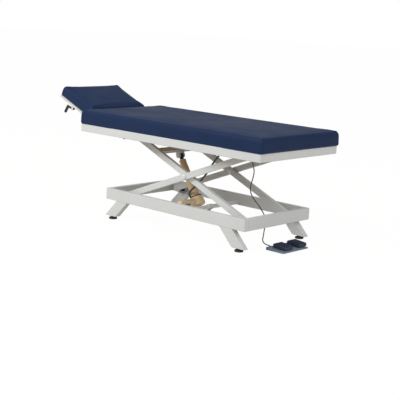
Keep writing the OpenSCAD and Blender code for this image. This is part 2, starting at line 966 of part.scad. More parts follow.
function cushion_ring(l, w, i, pull) =
    let (a = l / 2 - i, b = w / 2 - i, r = max(corner_r - i, 4), x = a - r, y = b - r)
    concat(
        cushion_corner([-x, -y], r, 180), cushion_side([-x, -b], [x, -b], 7, pull),
        cushion_corner([x, -y], r, 270), cushion_side([a, -y], [a, y], 3, pull),
        cushion_corner([x, y], r, 0), cushion_side([x, b], [-x, b], 7, pull),
        cushion_corner([-x, y], r, 90), cushion_side([-a, y], [-a, -y], 3, pull));

// Steps of the side, the rounded edge and the crown: how far drawn in, and how high
function cushion_steps(w, h) =
    let (span = w / 2 - edge_r)
    concat([[2, 0], [0, 8], [0, h - edge_r]],
        [for (a = [30, 60, 90]) [edge_r * (1 - cos(a)), h - edge_r * (1 - sin(a))]],
        [for (f = [0.2, 0.5, 0.85]) [edge_r + f * span * 0.9, h + crown * (1 - pow(1 - f, 2))]]);

module cushion(l, w, h) {
    steps = cushion_steps(w, h);
    rings = [for (s = steps) [for (p = cushion_ring(l, w, s[0], 3)) [p[0], p[1], s[1]]]];
    n = len(rings[0]);
    m = len(rings);
    points = concat([for (ring = rings) for (p = ring) p], [[0, 0, 0], [0, 0, h + crown]]);
    sides = [for (k = [0:m - 2], i = [0:n - 1]) let (j = (i + 1) % n)
        each [[k * n + i, (k + 1) * n + i, (k + 1) * n + j], [k * n + i, (k + 1) * n + j, k * n + j]]];
    low = [for (i = [0:n - 1]) [i, (i + 1) % n, m * n]];
    high = [for (i = [0:n - 1]) [(m - 1) * n + (i + 1) % n, (m - 1) * n + i, m * n + 1]];
    polyhedron(points, concat(sides, low, high));
}

module mattress_panel() {
    color(plywood)
        translate([top_head_x + panel_inset, panel_inset - top_w / 2, top_z1])
            cube([top_len - 2 * panel_inset, top_w - 2 * panel_inset, board_t]);
}

module mattress() {
    x0 = hinge_x + mattress_gap;
    x1 = top_foot_x + mattress_over;
    inset = panel_inset - rest_gap;
    color(navy) difference() {
        translate([(x0 + x1) / 2, 0, top_z1 + rest_gap])
            cushion(x1 - x0, top_w + 2 * mattress_side, mattress_h - rest_gap);
        translate([top_head_x + inset, inset - top_w / 2, top_z1 - 1])
            cube([top_len - 2 * inset, top_w - 2 * inset, board_t + rest_gap + 1]);
    }
}

// Box with the power supply; the mains inlet is a recess in its foot side
module control_box() {
    color(black) difference() {
        translate([box_x + box_l / 2, box_y + box_w / 2, cross_z0 - box_h])
            linear_extrude(box_h) rounded_square(box_l, box_w, box_corner);
        translate([box_x + box_l - inlet_size[0], box_y + box_w - inlet_size[1] - inlet_in,
            cross_z0 - box_h / 2 - inlet_size[2] / 2])
            cube(inlet_size + [1, 0, 0]);
    }
}

// Head section
// Forks for the head hinge, with their pins, and the plates for the gas spring
module head_brackets() {
    color(enamel) both_sides()
        for (y = [bar_mid - lug_t / 2 - fork_gap - fork_t, bar_mid + lug_t / 2 + fork_gap])
            difference() {
                y_slab(y, y + fork_t) {
                    translate([hinge_x, hinge_z]) circle(hinge_drop);
                    translate([hinge_x, hinge_z - hinge_drop])
                        square([top_head_x - hinge_x, 2 * hinge_drop]);
                }
                y_rod(hinge_x, hinge_z, y - 1, y + fork_t + 1, hinge_d + 2 * run_fit);
            }
    color(steel) both_sides() {
        half = lug_t / 2 + fork_gap + fork_t + 2;
        y_rod(hinge_x, hinge_z, bar_mid - half, bar_mid + half, hinge_d);
    }
    color(enamel) both_sides()
        difference() {
            y_slab(gas_plate_y, gas_plate_y + gas_plate_t) {
                translate(gas_frame) circle(gas_pin_d);
                polygon([[top_head_x + gas_plate_in, top_z0], gas_frame - [gas_pin_d, 0],
                    gas_frame + [gas_pin_d, 0], [top_head_x + top_rail_t, top_z0]]);
            }
            y_rod(gas_frame[0], gas_frame[1], gas_plate_y - 1, gas_plate_y + gas_plate_t + 1,
                gas_pin_d + 2 * run_fit);
        }
    color(steel) y_rod(gas_frame[0], gas_frame[1], -gas_pin_half, gas_pin_half, gas_pin_d);
}

module head_side_bars() {
    color(enamel) head_frame() {
        both_sides() {
            translate([bar_start, bar_in, head_rise])
                closed_tube([bar_end - bar_start, head_bar_w, head_bar_h]);
            difference() {
                y_slab(bar_mid - lug_t / 2, bar_mid + lug_t / 2) {
                    circle(lug_r);
                    polygon([[0, -lug_r], [lug_end, head_rise], [-lug_r / 2, head_rise]]);
                }
                y_rod(0, 0, bar_in, bar_out, hinge_d + 2 * run_fit);
            }
        }
        lever_half = lever_d / 2 + lever_gap;
        for (y = [-bar_mid - lever_half - lever_plate_t, -bar_mid + lever_half])
            difference() {
                y_slab(y, y + lever_plate_t)
                    translate([lever_u, 0]) {
                        translate([0, lever_v]) circle(lever_d / 2);
                        translate([-lever_d / 2, lever_v]) square([lever_d, head_rise - lever_v]);
                    }
                y_rod(lever_u, lever_v, y - 1, y + lever_plate_t + 1, lever_pin_d + 2 * run_fit);
            }
        pin_half = lever_d / 2 + lever_pin_over;
        y_rod(lever_u, lever_v, -bar_mid - pin_half, -bar_mid + pin_half, lever_pin_d);
    }
}

module head_cross_bars() {
    color(enamel) head_frame() {
        for (u = [foot_bar_u, bar_end - head_bar_w])
            translate([u, -bar_in, head_rise]) closed_tube([head_bar_w, 2 * bar_in, head_bar_h]);
        translate([gas_bar_u - gas_bar_w / 2, -bar_in, head_rise])
            closed_tube([gas_bar_w, 2 * bar_in, head_bar_h]);
        both_sides()
            difference() {
                y_slab(gas_ear_y, gas_ear_y + gas_ear_t) {
                    translate([gas_bar_u, gas_bar_v]) circle(gas_pin_d);
                    translate([gas_bar_u - gas_pin_d, gas_bar_v])
                        square([2 * gas_pin_d, head_rise - gas_bar_v]);
                }
                y_rod(gas_bar_u, gas_bar_v, gas_ear_y - 1, gas_ear_y + gas_ear_t + 1,
                    gas_pin_d + 2 * run_fit);
            }
        y_rod(gas_bar_u, gas_bar_v, -gas_pin_half, gas_pin_half, gas_pin_d);
    }
}

module head_panel() {
    color(plywood) head_frame()
        translate([head_gap + panel_inset, panel_inset - head_w / 2, bar_top])
            cube([head_len - head_gap - 2 * panel_inset, head_w - 2 * panel_inset, board_t]);
}

module head_cushion() {
    inset = panel_inset - rest_gap;
    length = head_len - head_gap;
    color(navy) head_frame() difference() {
        translate([head_gap + length / 2, 0, bar_top + rest_gap])
            cushion(length, head_w, head_h - rest_gap);
        translate([head_gap + inset, inset - head_w / 2, bar_top - 1])
            cube([length - 2 * inset, head_w - 2 * inset, board_t + rest_gap + 1]);
    }
}

module gas_cylinder() {
    color(black) link_frame(gas_frame, gas_head) difference() {
        union() {
            y_rod(0, 0, -gas_link_half, gas_link_half, 2 * gas_pin_d);
            rotate([0, 90, 0]) cylinder(d = gas_d / 2, h = gas_body_at + 1);
            translate([gas_body_at, 0, 0]) rotate([0, 90, 0]) cylinder(d = gas_d, h = gas_body_len);
        }
        y_rod(0, 0, -gas_link_half - 1, gas_link_half + 1, gas_pin_d + 2 * run_fit);
        translate([gas_body_at + gas_bottom, 0, 0]) rotate([0, 90, 0])
            cylinder(d = gas_rod_d + 2 * run_fit, h = gas_body_len);
    }
}

module piston_rod() {
    color(steel) link_frame(gas_frame, gas_head) difference() {
        union() {
            translate([gas_length - gas_rod_len, 0, 0]) rotate([0, 90, 0])
                cylinder(d = gas_rod_d, h = gas_rod_len);
            y_rod(gas_length, 0, -gas_eye_half, gas_eye_half, 2 * gas_eye_r);
        }
        y_rod(gas_length, 0, -gas_eye_half - 1, gas_eye_half + 1, gas_pin_d + 2 * gas_play);
    }
}

module release_lever() {
    color(black) head_frame() difference() {
        union() {
            y_rod(lever_u, lever_v, -bar_mid - lever_d / 2, -bar_mid + lever_d / 2, lever_d);
            rod_between([lever_u, lever_v], lever_elbow, -bar_mid, lever_d);
            translate([lever_elbow[0], -bar_mid, lever_elbow[1]]) sphere(d = grip_d);
            rod_between(lever_elbow, lever_tip, -bar_mid, grip_d);
            translate([lever_tip[0], -bar_mid, lever_tip[1]]) sphere(d = grip_d);
        }
        y_rod(lever_u, lever_v, -bar_out, -bar_in, lever_pin_d + 2 * run_fit);
    }
}

// Foot switch
function plate_top(x) = switch_h - (switch_h - switch_front_h) * x / switch_l;

module foot_switch_plate() {
    pin_x = pedal_back + pedal_pin_at;
    pin_z = plate_top(pin_x) + pedal_pin_rise;
    color("#6E8090") translate([switch_x, switch_y, 0]) {
        intersection() {
            y_slab(-switch_w / 2, switch_w / 2)
                polygon([[0, 0], [switch_l, 0], [switch_l, switch_front_h], [0, switch_h]]);
            translate([switch_l / 2, 0, 0]) linear_extrude(switch_h)
                rounded_square(switch_l, switch_w, plate_corner);
        }
        for (i = [-1, 1])
            translate([0, pedal_shift + i * pedal_pitch / 2, 0]) difference() {
                y_slab(-pedal_lug_w / 2, pedal_lug_w / 2) {
                    translate([pin_x, pin_z]) circle(pedal_pin_d);
                    polygon([[pin_x - pedal_pin_d, plate_top(pin_x - pedal_pin_d)],
                        [pin_x + pedal_pin_d, plate_top(pin_x + pedal_pin_d)],
                        [pin_x + pedal_pin_d, pin_z], [pin_x - pedal_pin_d, pin_z]]);
                }
                y_rod(pin_x, pin_z, -pedal_lug_w, pedal_lug_w, pedal_pin_d + 2 * run_fit);
            }
    }
    color(steel) translate([switch_x, switch_y, 0])
        for (i = [-1, 1])
            translate([0, pedal_shift + i * pedal_pitch / 2, 0])
                y_rod(pin_x, pin_z, -pedal_lug_w, pedal_lug_w, pedal_pin_d);
}

module pedal(side) {
    slot = pedal_lug_w + 2 * pedal_lug_gap;
    pin_x = pedal_pin_at;
    pin_z = plate_top(pedal_back + pin_x) + pedal_pin_rise;
    low_back = plate_top(pedal_back) + pedal_gap_back;
    low_front = plate_top(pedal_back + pedal_l) + pedal_gap_front;
    round_d = 12;
    color(navy) translate([pedal_x, switch_y + pedal_shift + side * pedal_pitch / 2, 0])
        difference() {
            y_slab(-pedal_w / 2, pedal_w / 2)
                polygon([[0, low_back], [pedal_l, low_front], [pedal_l, pedal_top_front - pedal_edge],
                    [pedal_l - pedal_edge, pedal_top_front], [pedal_edge, pedal_top_back],
                    [0, pedal_top_back - pedal_edge]]);
            translate([-1, -slot / 2, 0])
                cube([pin_x + round_d, slot, pin_z + round_d / 2]);
            y_rod(pin_x, pin_z, -pedal_lug_w - 1, pedal_lug_w + 1, pedal_pin_d + 2 * run_fit);
        }
}

module pedal_raise() {
    pedal(-1);
}

module pedal_lower() {
    pedal(1);
}

// Cables
function from_base(route) = [for (p = route) p + [base_x, 0, 0]];

function unit(v) = v / norm(v);

// Smooth curve through the points of a route, n steps between two points
function curve(r, n) =
    let (m = len(r))
    concat([for (i = [0:m - 2], k = [0:n - 1])
        let (a = r[max(i - 1, 0)], b = r[i], c = r[i + 1], d = r[min(i + 2, m - 1)], t = k / n)
        0.5 * (2 * b + (c - a) * t + (2 * a - 5 * b + 4 * c - d) * t * t
            + (3 * b - a - 3 * c + d) * t * t * t)], [r[m - 1]]);

// Direction of the curve at each point; the first and the last are given
function ways(p, first, last) =
    let (m = len(p))
    [for (i = [0:m - 1]) i == 0 ? first : i == m - 1 ? last : unit(p[i + 1] - p[i - 1])];

// Sideways directions, carried along the curve without twist
function sideways(w, i, s) =
    let (v = unit(s - (s * w[i]) * w[i]))
    concat([v], i < len(w) - 1 ? sideways(w, i + 1, v) : []);

// Tube with one radius for each point of the curve
module swept_tube(p, w, radii) {
    s = sideways(w, 0, [0, 1, 0.05]);
    m = len(p);
    n = cable_sides;
    points = concat([for (i = [0:m - 1]) let (c = cross(w[i], s[i]))
        for (k = [0:n - 1]) p[i] + radii[i] * (cos(360 * k / n) * s[i] + sin(360 * k / n) * c)],
        [p[0], p[m - 1]]);
    sides = [for (i = [0:m - 2], k = [0:n - 1]) let (j = (k + 1) % n)
        each [[i * n + k, (i + 1) * n + k, (i + 1) * n + j], [i * n + k, (i + 1) * n + j, i * n + j]]];
    caps = [for (k = [0:n - 1]) let (j = (k + 1) % n)
        each [[k, j, m * n], [(m - 1) * n + j, (m - 1) * n + k, m * n + 1]]];
    polyhedron(points, concat(sides, caps));
}

module plain_cable(route, first, last, d) {
    p = curve(from_base(route), foot_cable_step);
    swept_tube(p, ways(p, first, last), [for (q = p) d / 2]);
}

module foot_cable_upper() {
    color(black) plain_cable(foot_cable_upper_route, [1, 0, 0], [0, 0, -1], foot_cable_d);
}

module foot_cable_lower() {
    color(black) plain_cable(foot_cable_lower_route, [0, 0, -1], [1, 0, 0], foot_cable_d);
}

// Length of the curve up to each of its points
function run_lengths(p) =
    [for (i = 0, s = 0; i < len(p); s = s + (i + 1 < len(p) ? norm(p[i + 1] - p[i]) : 0), i = i + 1)
        s];

function point_at(p, s, d) =
    [for (axis = [0:2]) lookup(d, [for (i = [0:len(p) - 1]) [s[i], p[i][axis]]])];

// Ribbed conduit: its ends are plain for one diameter, and each rib has a valley and a crest
module ribbed_cable(route, first, last) {
    p = curve(from_base(route), motor_cable_step);
    s = run_lengths(p);
    total = s[len(s) - 1];
    plain = motor_cable_d;
    ribs = floor((total - 2 * plain) / rib_pitch);
    pitch = (total - 2 * plain) / ribs;
    r = motor_cable_d / 2;
    echo(ribs = ribs, length = total);
    stops = concat([[0, r]],
        [for (k = [0:ribs - 1]) each [[plain + k * pitch, r - rib_h], [plain + (k + 0.5) * pitch, r]]],
        [[total - plain, r - rib_h], [total, r]]);
    outer = [for (stop = stops) point_at(p, s, stop[0])];
    bore_stops = [for (k = [0:ceil(total / motor_cable_d)]) min(total, k * motor_cable_d)];
    core = [for (d = bore_stops) point_at(p, s, d)];
    m = len(core);
    long_core = concat([core[0] - first], [for (i = [1:m - 2]) core[i]], [core[m - 1] + last]);
    difference() {
        swept_tube(outer, ways(outer, first, last), [for (stop = stops) stop[1]]);
        swept_tube(long_core, ways(long_core, first, last),
            [for (q = long_core) r - rib_h - conduit_wall]);
    }
}

module motor_cable_upper() {
    color(black) ribbed_cable(motor_cable_upper_route, [0, 0, -1], joint_way);
}

module motor_cable_lower() {
    color(black) ribbed_cable(motor_cable_lower_route, joint_way, housing_way);
}

base_side_rail_near();
base_side_rail_far();
base_head_rail();
base_foot_rail();
leg_head_near();
leg_head_far();
leg_foot_near();
leg_foot_far();
floor_pads();
base_slide_guides();
base_pivot_bosses();
base_pins();
base_cross_tube();
foot_cable_clip();
inner_arm_near();
inner_arm_far();
lifting_cross_tube();
rod_clevis();
middle_pins();
pin_caps();
upper_slide_pins();
outer_arm_near();
outer_arm_far();
outer_cross_tube();
middle_bushes();
lower_slide_pins();
lower_slide_blocks();
upper_slide_blocks();
gear_housing();
actuator_motor();
guide_tube();
housing_gasket();
push_rod();
rod_eye();
top_side_rail_near();
top_side_rail_far();
top_head_rail();
top_foot_rail();
top_cross_rails();
top_slide_guides();
top_pivot_brackets();
top_pivot_pins();
mattress_panel();
mattress();
control_box();
head_brackets();
head_side_bars();
head_cross_bars();
head_panel();
head_cushion();
gas_cylinder();
piston_rod();
release_lever();
foot_switch_plate();
pedal_raise();
pedal_lower();
foot_cable_upper();
foot_cable_lower();
motor_cable_upper();
motor_cable_lower();
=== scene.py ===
import json
import math

import bmesh
import bpy
from mathutils import Matrix, Vector


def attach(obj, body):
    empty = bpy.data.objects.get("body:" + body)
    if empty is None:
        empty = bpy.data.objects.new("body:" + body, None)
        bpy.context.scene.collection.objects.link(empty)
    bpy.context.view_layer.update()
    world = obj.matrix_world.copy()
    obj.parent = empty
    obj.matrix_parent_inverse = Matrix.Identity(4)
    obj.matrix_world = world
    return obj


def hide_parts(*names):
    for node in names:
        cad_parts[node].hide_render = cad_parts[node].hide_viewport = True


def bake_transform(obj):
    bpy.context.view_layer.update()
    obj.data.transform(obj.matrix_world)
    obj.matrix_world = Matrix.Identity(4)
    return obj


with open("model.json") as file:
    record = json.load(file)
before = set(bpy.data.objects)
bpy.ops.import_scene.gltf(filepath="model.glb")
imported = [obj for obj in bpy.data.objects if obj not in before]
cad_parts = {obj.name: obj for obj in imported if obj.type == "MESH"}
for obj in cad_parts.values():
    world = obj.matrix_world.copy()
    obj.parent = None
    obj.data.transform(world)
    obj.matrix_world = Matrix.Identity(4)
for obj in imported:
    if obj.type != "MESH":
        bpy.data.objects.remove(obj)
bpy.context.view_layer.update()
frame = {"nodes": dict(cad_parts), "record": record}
cadNodes = frame["nodes"]
record = frame["record"]
bodyOf = {n: body for body, names in record["behaviour"]["bodies"].items() for n in names}
slotOf = {part["node"]: part["material_slot"] for part in record["subparts"]}

# Places in metres: +X to the foot end, -Y to the side with the release lever, +Z up
places = {
    "baseMiddle": 0.194529,
    "hinge": Vector((-0.580971, 0, 0.552302)),
    "headAngle": math.radians(22.5),
    "lowerPin": Vector((0.157529, 0, 0.113)),
    "upperPin": Vector((-0.025381, 0, 0.411922)),
    "topOfRails": 0.562302,
    "headPanelTop": 0.023,  # above the hinge, square to the head section
    "boltAlong": 0.036,  # from the middle of the base to its cross tube and the bolt under it
}


def addNode(tree, kind, inputs=None, **settings):
    node = tree.nodes.new(kind)
    for name, value in settings.items():
        setattr(node, name, value)
    for name, value in (inputs or {}).items():
        if isinstance(value, bpy.types.NodeSocket):
            tree.links.new(value, node.inputs[name])
        else:
            node.inputs[name].default_value = value
    return node


def toLinear(hexColour):
    values = [int(hexColour[i:i + 2], 16) / 255 for i in (1, 3, 5)]
    return [v / 12.92 if v <= 0.04045 else ((v + 0.055) / 1.055) ** 2.4 for v in values] + [1.0]


def startMaterial(name):
    material = bpy.data.materials.new(name)
    material.use_nodes = True
    tree = material.node_tree
    tree.nodes.clear()
    where = addNode(tree, "ShaderNodeTexCoord").outputs["Object"]
    return material, tree, where


def finishMaterial(tree, inputs):
    shader = addNode(tree, "ShaderNodeBsdfPrincipled", inputs)
    addNode(tree, "ShaderNodeOutputMaterial", {"Surface": shader.outputs[0]})


# Camera: where the photograph was taken from, worked out from the table's own corners
view = {
    "place": (4.1256, -4.3222, 1.3015),
    "azimuth": 42.592,
    "down": 10.960,
    "roll": 2.785,
    "lens": 90.009,
    "sensor": 36,
    "clip": (0.1, 200),
}


def makeCamera():
    turn, down, roll = (math.radians(view[k]) for k in ("azimuth", "down", "roll"))
    ahead = Vector((-math.sin(turn) * math.cos(down), math.cos(turn) * math.cos(down),
                    -math.sin(down)))
    level = Vector((math.cos(turn), math.sin(turn), 0))
    raised = level.cross(ahead)
    right = math.cos(roll) * level + math.sin(roll) * raised
    up = -math.sin(roll) * level + math.cos(roll) * raised
    data = bpy.data.cameras.new("photoCamera")
    data.lens, data.sensor_width = view["lens"], view["sensor"]
    data.clip_start, data.clip_end = view["clip"]
    camera = bpy.data.objects.new("photoCamera", data)
    bpy.context.scene.collection.objects.link(camera)
    camera.matrix_world = Matrix.Translation(view["place"]) @ Matrix(
        (right, up, -ahead)).transposed().to_4x4()
    bpy.context.scene.camera = camera


makeCamera()
print("camera made")

# Materials

noiseSpan = {"From Min": 0.3, "From Max": 0.7}  # where nearly all of a noise's values lie

enamelLook = {"light": "#E9EBEA", "shade": "#DEE0DE", "edge": "#C9CBC9", "roughness": (0.30, 0.42),
              "peelWidth": 0.0022, "peelDepth": 0.00005}


def makeEnamel():
    # white powder coat on mild steel: an even semi-gloss skin with a faint orange peel
    material, tree, where = startMaterial("whitePowderCoat")
    cloud = addNode(tree, "ShaderNodeTexNoise", {"Vector": where, "Scale": 4.0, "Detail": 3.0})
    tone = addNode(tree, "ShaderNodeMix", {0: cloud.outputs[0], 6: toLinear(enamelLook["light"]),
                                           7: toLinear(enamelLook["shade"])}, data_type="RGBA")
    edges = addNode(tree, "ShaderNodeMapRange", {
        "Value": addNode(tree, "ShaderNodeNewGeometry").outputs["Pointiness"],
        "From Min": 0.53, "From Max": 0.62, "To Max": 0.35})
    worn = addNode(tree, "ShaderNodeMix", {0: edges.outputs[0], 6: tone.outputs[2],
                                           7: toLinear(enamelLook["edge"])}, data_type="RGBA")
    low, high = enamelLook["roughness"]
    rough = addNode(tree, "ShaderNodeMapRange", {"Value": cloud.outputs[0], **noiseSpan,
                                                 "To Min": low, "To Max": high})
    peel = addNode(tree, "ShaderNodeTexNoise", {
        "Vector": where, "Scale": 1 / enamelLook["peelWidth"], "Detail": 1.0})
    bump = addNode(tree, "ShaderNodeBump", {"Height": peel.outputs[0], "Strength": 0.4,
                                            "Distance": enamelLook["peelDepth"]})
    finishMaterial(tree, {"Base Color": worn.outputs[2], "Roughness": rough.outputs[0],
                          "Normal": bump.outputs[0]})
    return material


steelLook = {"light": "#C9CBCD", "dark": "#A3A6A9", "roughness": (0.18, 0.34),
             "lineWidth": 0.0012, "lineDepth": 0.00002}


def makeTurnedSteel():
    # turned and ground carbon steel: fine lines round the bar, which all lies across the table
    material, tree, where = startMaterial("turnedSteel")
    stretch = addNode(tree, "ShaderNodeMapping", {"Vector": where, "Scale": (0.04, 1.0, 0.04)})
    lines = addNode(tree, "ShaderNodeTexNoise", {
        "Vector": stretch.outputs[0], "Scale": 1 / steelLook["lineWidth"], "Detail": 2.0})
    stain = addNode(tree, "ShaderNodeTexNoise", {"Vector": where, "Scale": 40.0, "Detail": 3.0})
    tone = addNode(tree, "ShaderNodeMix", {0: stain.outputs[0], 6: toLinear(steelLook["light"]),
                                           7: toLinear(steelLook["dark"])}, data_type="RGBA")
    low, high = steelLook["roughness"]
    rough = addNode(tree, "ShaderNodeMapRange", {"Value": lines.outputs[0], **noiseSpan,
                                                 "To Min": low, "To Max": high})
    bump = addNode(tree, "ShaderNodeBump", {"Height": lines.outputs[0], "Strength": 0.5,
                                            "Distance": steelLook["lineDepth"]})
    finishMaterial(tree, {"Base Color": tone.outputs[2], "Metallic": 1.0,
                          "Roughness": rough.outputs[0], "Normal": bump.outputs[0]})
    return material


def makeMoulded(name, look):
    # moulded plastic or rubber: spark-eroded grain, and handling marks that change the gloss
    material, tree, where = startMaterial(name)
    marks = addNode(tree, "ShaderNodeTexNoise", {"Vector": where, "Scale": look["markScale"],
                                                 "Detail": 4.0, "Roughness": 0.6})
    tone = addNode(tree, "ShaderNodeMix", {0: marks.outputs[0], 6: toLinear(look["light"]),
                                           7: toLinear(look["dark"])}, data_type="RGBA")
    low, high = look["roughness"]
    rough = addNode(tree, "ShaderNodeMapRange", {"Value": marks.outputs[0], **noiseSpan,
                                                 "To Min": low, "To Max": high})
    grain = addNode(tree, "ShaderNodeTexNoise", {"Vector": where, "Scale": 1 / look["grain"],
                                                 "Detail": 2.0})
    bump = addNode(tree, "ShaderNodeBump", {"Height": grain.outputs[0], "Strength": 0.5,
                                            "Distance": look["depth"]})
    finishMaterial(tree, {"Base Color": tone.outputs[2], "Roughness": rough.outputs[0],
                          "IOR": look["ior"], "Normal": bump.outputs[0]})
    return material


mouldedLooks = {
    # acrylonitrile butadiene styrene case in a yellowish tan, satin, with a drawn grain of 0.8 mm
    "tanAbs": {"light": "#F3DEB4", "dark": "#E7CEA0", "roughness": (0.36, 0.5), "ior": 1.53,
               "markScale": 14.0, "grain": 0.0008, "depth": 0.00004},
    # the same plastic on the guide tube, painted darker and browner: painted shade for the tube,
    # which sits in shade between the arms
    "tubeAbs": {"light": "#E4CB9E", "dark": "#D0B283", "roughness": (0.36, 0.5), "ior": 1.53,
                "markScale": 14.0, "grain": 0.0008, "depth": 0.00004},
    # glass-filled nylon, dull black: clips, slide blocks, forks and the box
    "blackNylon": {"light": "#2E2F32", "dark": "#222326", "roughness": (0.42, 0.6), "ior": 1.53,
                   "markScale": 22.0, "grain": 0.0009, "depth": 0.00005},
    # grey-black ribbed nylon conduit of the motor cable, dull and a little dusty
    "conduitNylon": {"light": "#4E4F53", "dark": "#3D3E42", "roughness": (0.5, 0.65), "ior": 1.53,
                     "markScale": 25.0, "grain": 0.001, "depth": 0.00003},
    # soft polyvinyl chloride sheath of the cables, smooth with a dull shine
    "pvcSheath": {"light": "#2A2B2E", "dark": "#1F2022", "roughness": (0.38, 0.5), "ior": 1.53,
                  "markScale": 30.0, "grain": 0.0012, "depth": 0.00002},
    # black nitrile rubber: floor pads, gasket and grips, dusty and dull
    "nitrileRubber": {"light": "#333335", "dark": "#262628", "roughness": (0.6, 0.8), "ior": 1.52,
                      "markScale": 35.0, "grain": 0.0011, "depth": 0.00008},
    # moulded rubber of the pedals, the navy of the upholstery
    "pedalRubber": {"light": "#232A47", "dark": "#1B2139", "roughness": (0.5, 0.68), "ior": 1.52,
                    "markScale": 24.0, "grain": 0.001, "depth": 0.00007},
    # grey-blue textured paint on the plate of the foot switch
    "greyPlatePaint": {"light": "#7F909F", "dark": "#6F8090", "roughness": (0.4, 0.55),
                       "ior": 1.5, "markScale": 18.0, "grain": 0.0012, "depth": 0.00006},
    # polished white nylon of the domed caps on the pivots
    "capNylon": {"light": "#F6F7F7", "dark": "#ECEEEE", "roughness": (0.16, 0.26), "ior": 1.53,
                 "markScale": 40.0, "grain": 0.0012, "depth": 0.00002},
    # blank aluminium foil patch on the motor
    "bareFoil": {"light": "#77777A", "dark": "#68686C", "roughness": (0.35, 0.5), "ior": 1.5,
                 "markScale": 60.0, "grain": 0.0007, "depth": 0.00002},
}

vinylLook = {"light": "#26385B", "dark": "#213151", "valley": "#172238",
             "roughness": (0.40, 0.50), "grain": 0.0016, "grainDepth": 0.00012, "gloss": 0.075}


def makeVinyl():
    # navy upholstery vinyl on a knitted back: a pebbled grain pressed into a satin skin; the
    # real pebbles are about 0.8 mm, drawn at 1.6 mm so that they show
    material, tree, where = startMaterial("navyVinyl")
    cloud = addNode(tree, "ShaderNodeTexNoise", {"Vector": where, "Scale": 5.0, "Detail": 4.0})
    pebbles = addNode(tree, "ShaderNodeTexVoronoi", {
        "Vector": where, "Scale": 1 / vinylLook["grain"], "Randomness": 0.9}, feature="F1")
    fine = addNode(tree, "ShaderNodeTexNoise", {
        "Vector": where, "Scale": 2 / vinylLook["grain"], "Detail": 2.0})
    tone = addNode(tree, "ShaderNodeMix", {0: cloud.outputs[0], 6: toLinear(vinylLook["light"]),
                                           7: toLinear(vinylLook["dark"])}, data_type="RGBA")
    valley = addNode(tree, "ShaderNodeMapRange", {
        "Value": pebbles.outputs["Distance"], "From Min": 0.45, "From Max": 0.9, "To Max": 0.35})
    grained = addNode(tree, "ShaderNodeMix", {0: valley.outputs[0], 6: tone.outputs[2],
                                              7: toLinear(vinylLook["valley"])}, data_type="RGBA")
    low, high = vinylLook["roughness"]
    rough = addNode(tree, "ShaderNodeMapRange", {"Value": cloud.outputs[0], **noiseSpan,
                                                 "To Min": low, "To Max": high})
    height = addNode(tree, "ShaderNodeMath", {0: fine.outputs[0], 1: 0.35, 2: pebbles.outputs[0]},
                     operation="MULTIPLY_ADD")
    bump = addNode(tree, "ShaderNodeBump", {"Height": height.outputs[0], "Strength": 0.6,
                                            "Distance": vinylLook["grainDepth"]}, invert=True)
    finishMaterial(tree, {"Base Color": grained.outputs[2], "Roughness": rough.outputs[0],
                          "Specular IOR Level": vinylLook["gloss"],
                          "Normal": bump.outputs[0]})
    return material


plyLook = {"light": "#C29A68", "dark": "#9C7648", "glue": "#80603A", "plies": 0.0014,
           "rings": 0.012, "roughness": 0.62, "depth": 0.0001}


def makePlywood():
    # birch plywood, sanded and bare: long grain on the faces and plies on the edges
    material, tree, where = startMaterial("birchPlywood")
    grainWay = addNode(tree, "ShaderNodeMapping", {"Vector": where, "Scale": (0.06, 1.0, 1.0)})
    figure = addNode(tree, "ShaderNodeTexNoise", {
        "Vector": grainWay.outputs[0], "Scale": 1 / plyLook["rings"], "Detail": 6.0,
        "Roughness": 0.65})
    layers = addNode(tree, "ShaderNodeTexWave", {"Vector": where, "Scale": 0.05 / plyLook["plies"],
                                                 "Distortion": 0.4}, bands_direction="Z")
    tone = addNode(tree, "ShaderNodeMix", {0: figure.outputs[0], 6: toLinear(plyLook["light"]),
                                           7: toLinear(plyLook["dark"])}, data_type="RGBA")
    plies = addNode(tree, "ShaderNodeMath", {0: layers.outputs[1], 1: 0.25}, operation="MULTIPLY")
    colour = addNode(tree, "ShaderNodeMix", {0: plies.outputs[0], 6: tone.outputs[2],
                                             7: toLinear(plyLook["glue"])}, data_type="RGBA")
    bump = addNode(tree, "ShaderNodeBump", {"Height": figure.outputs[0], "Strength": 0.3,
                                            "Distance": plyLook["depth"]})
    finishMaterial(tree, {"Base Color": colour.outputs[2], "Roughness": plyLook["roughness"],
                          "Normal": bump.outputs[0]})
    return material


bronzeLook = {"light": "#C29A58", "dark": "#8C6B38", "poresPerMetre": 900.0, "depth": 0.00004,
              "roughness": 0.4}


def makeBronze():
    # sintered bronze bushes: dull, porous and oily
    material, tree, where = startMaterial("sinteredBronze")
    pores = addNode(tree, "ShaderNodeTexNoise", {
        "Vector": where, "Scale": bronzeLook["poresPerMetre"], "Detail": 2.0})
    tone = addNode(tree, "ShaderNodeMix", {0: pores.outputs[0], 6: toLinear(bronzeLook["light"]),
                                           7: toLinear(bronzeLook["dark"])}, data_type="RGBA")
    bump = addNode(tree, "ShaderNodeBump", {"Height": pores.outputs[0], "Strength": 0.4,
                                            "Distance": bronzeLook["depth"]})
    finishMaterial(tree, {"Base Color": tone.outputs[2], "Metallic": 1.0,
                          "Roughness": bronzeLook["roughness"], "Normal": bump.outputs[0]})
    return material


finishes = {"white_enamel": makeEnamel(), "bright_steel": makeTurnedSteel(),
            "bronze": makeBronze(), "navy_vinyl": makeVinyl(), "plywood": makePlywood()}
for slotName, look in (("black_plastic", "blackNylon"), ("cable_black", "pvcSheath"),
                       ("tan_plastic", "tanAbs"), ("grey_plate", "greyPlatePaint"),
                       ("pedal_rubber", "pedalRubber"), ("rubber", "nitrileRubber"),
                       ("foil", "bareFoil"), ("cap", "capNylon"), ("tube", "tubeAbs"),
                       ("conduit", "conduitNylon")):
    finishes[slotName] = makeMoulded(look, mouldedLooks[look])
print("materials made:", len(finishes))

# Meshes


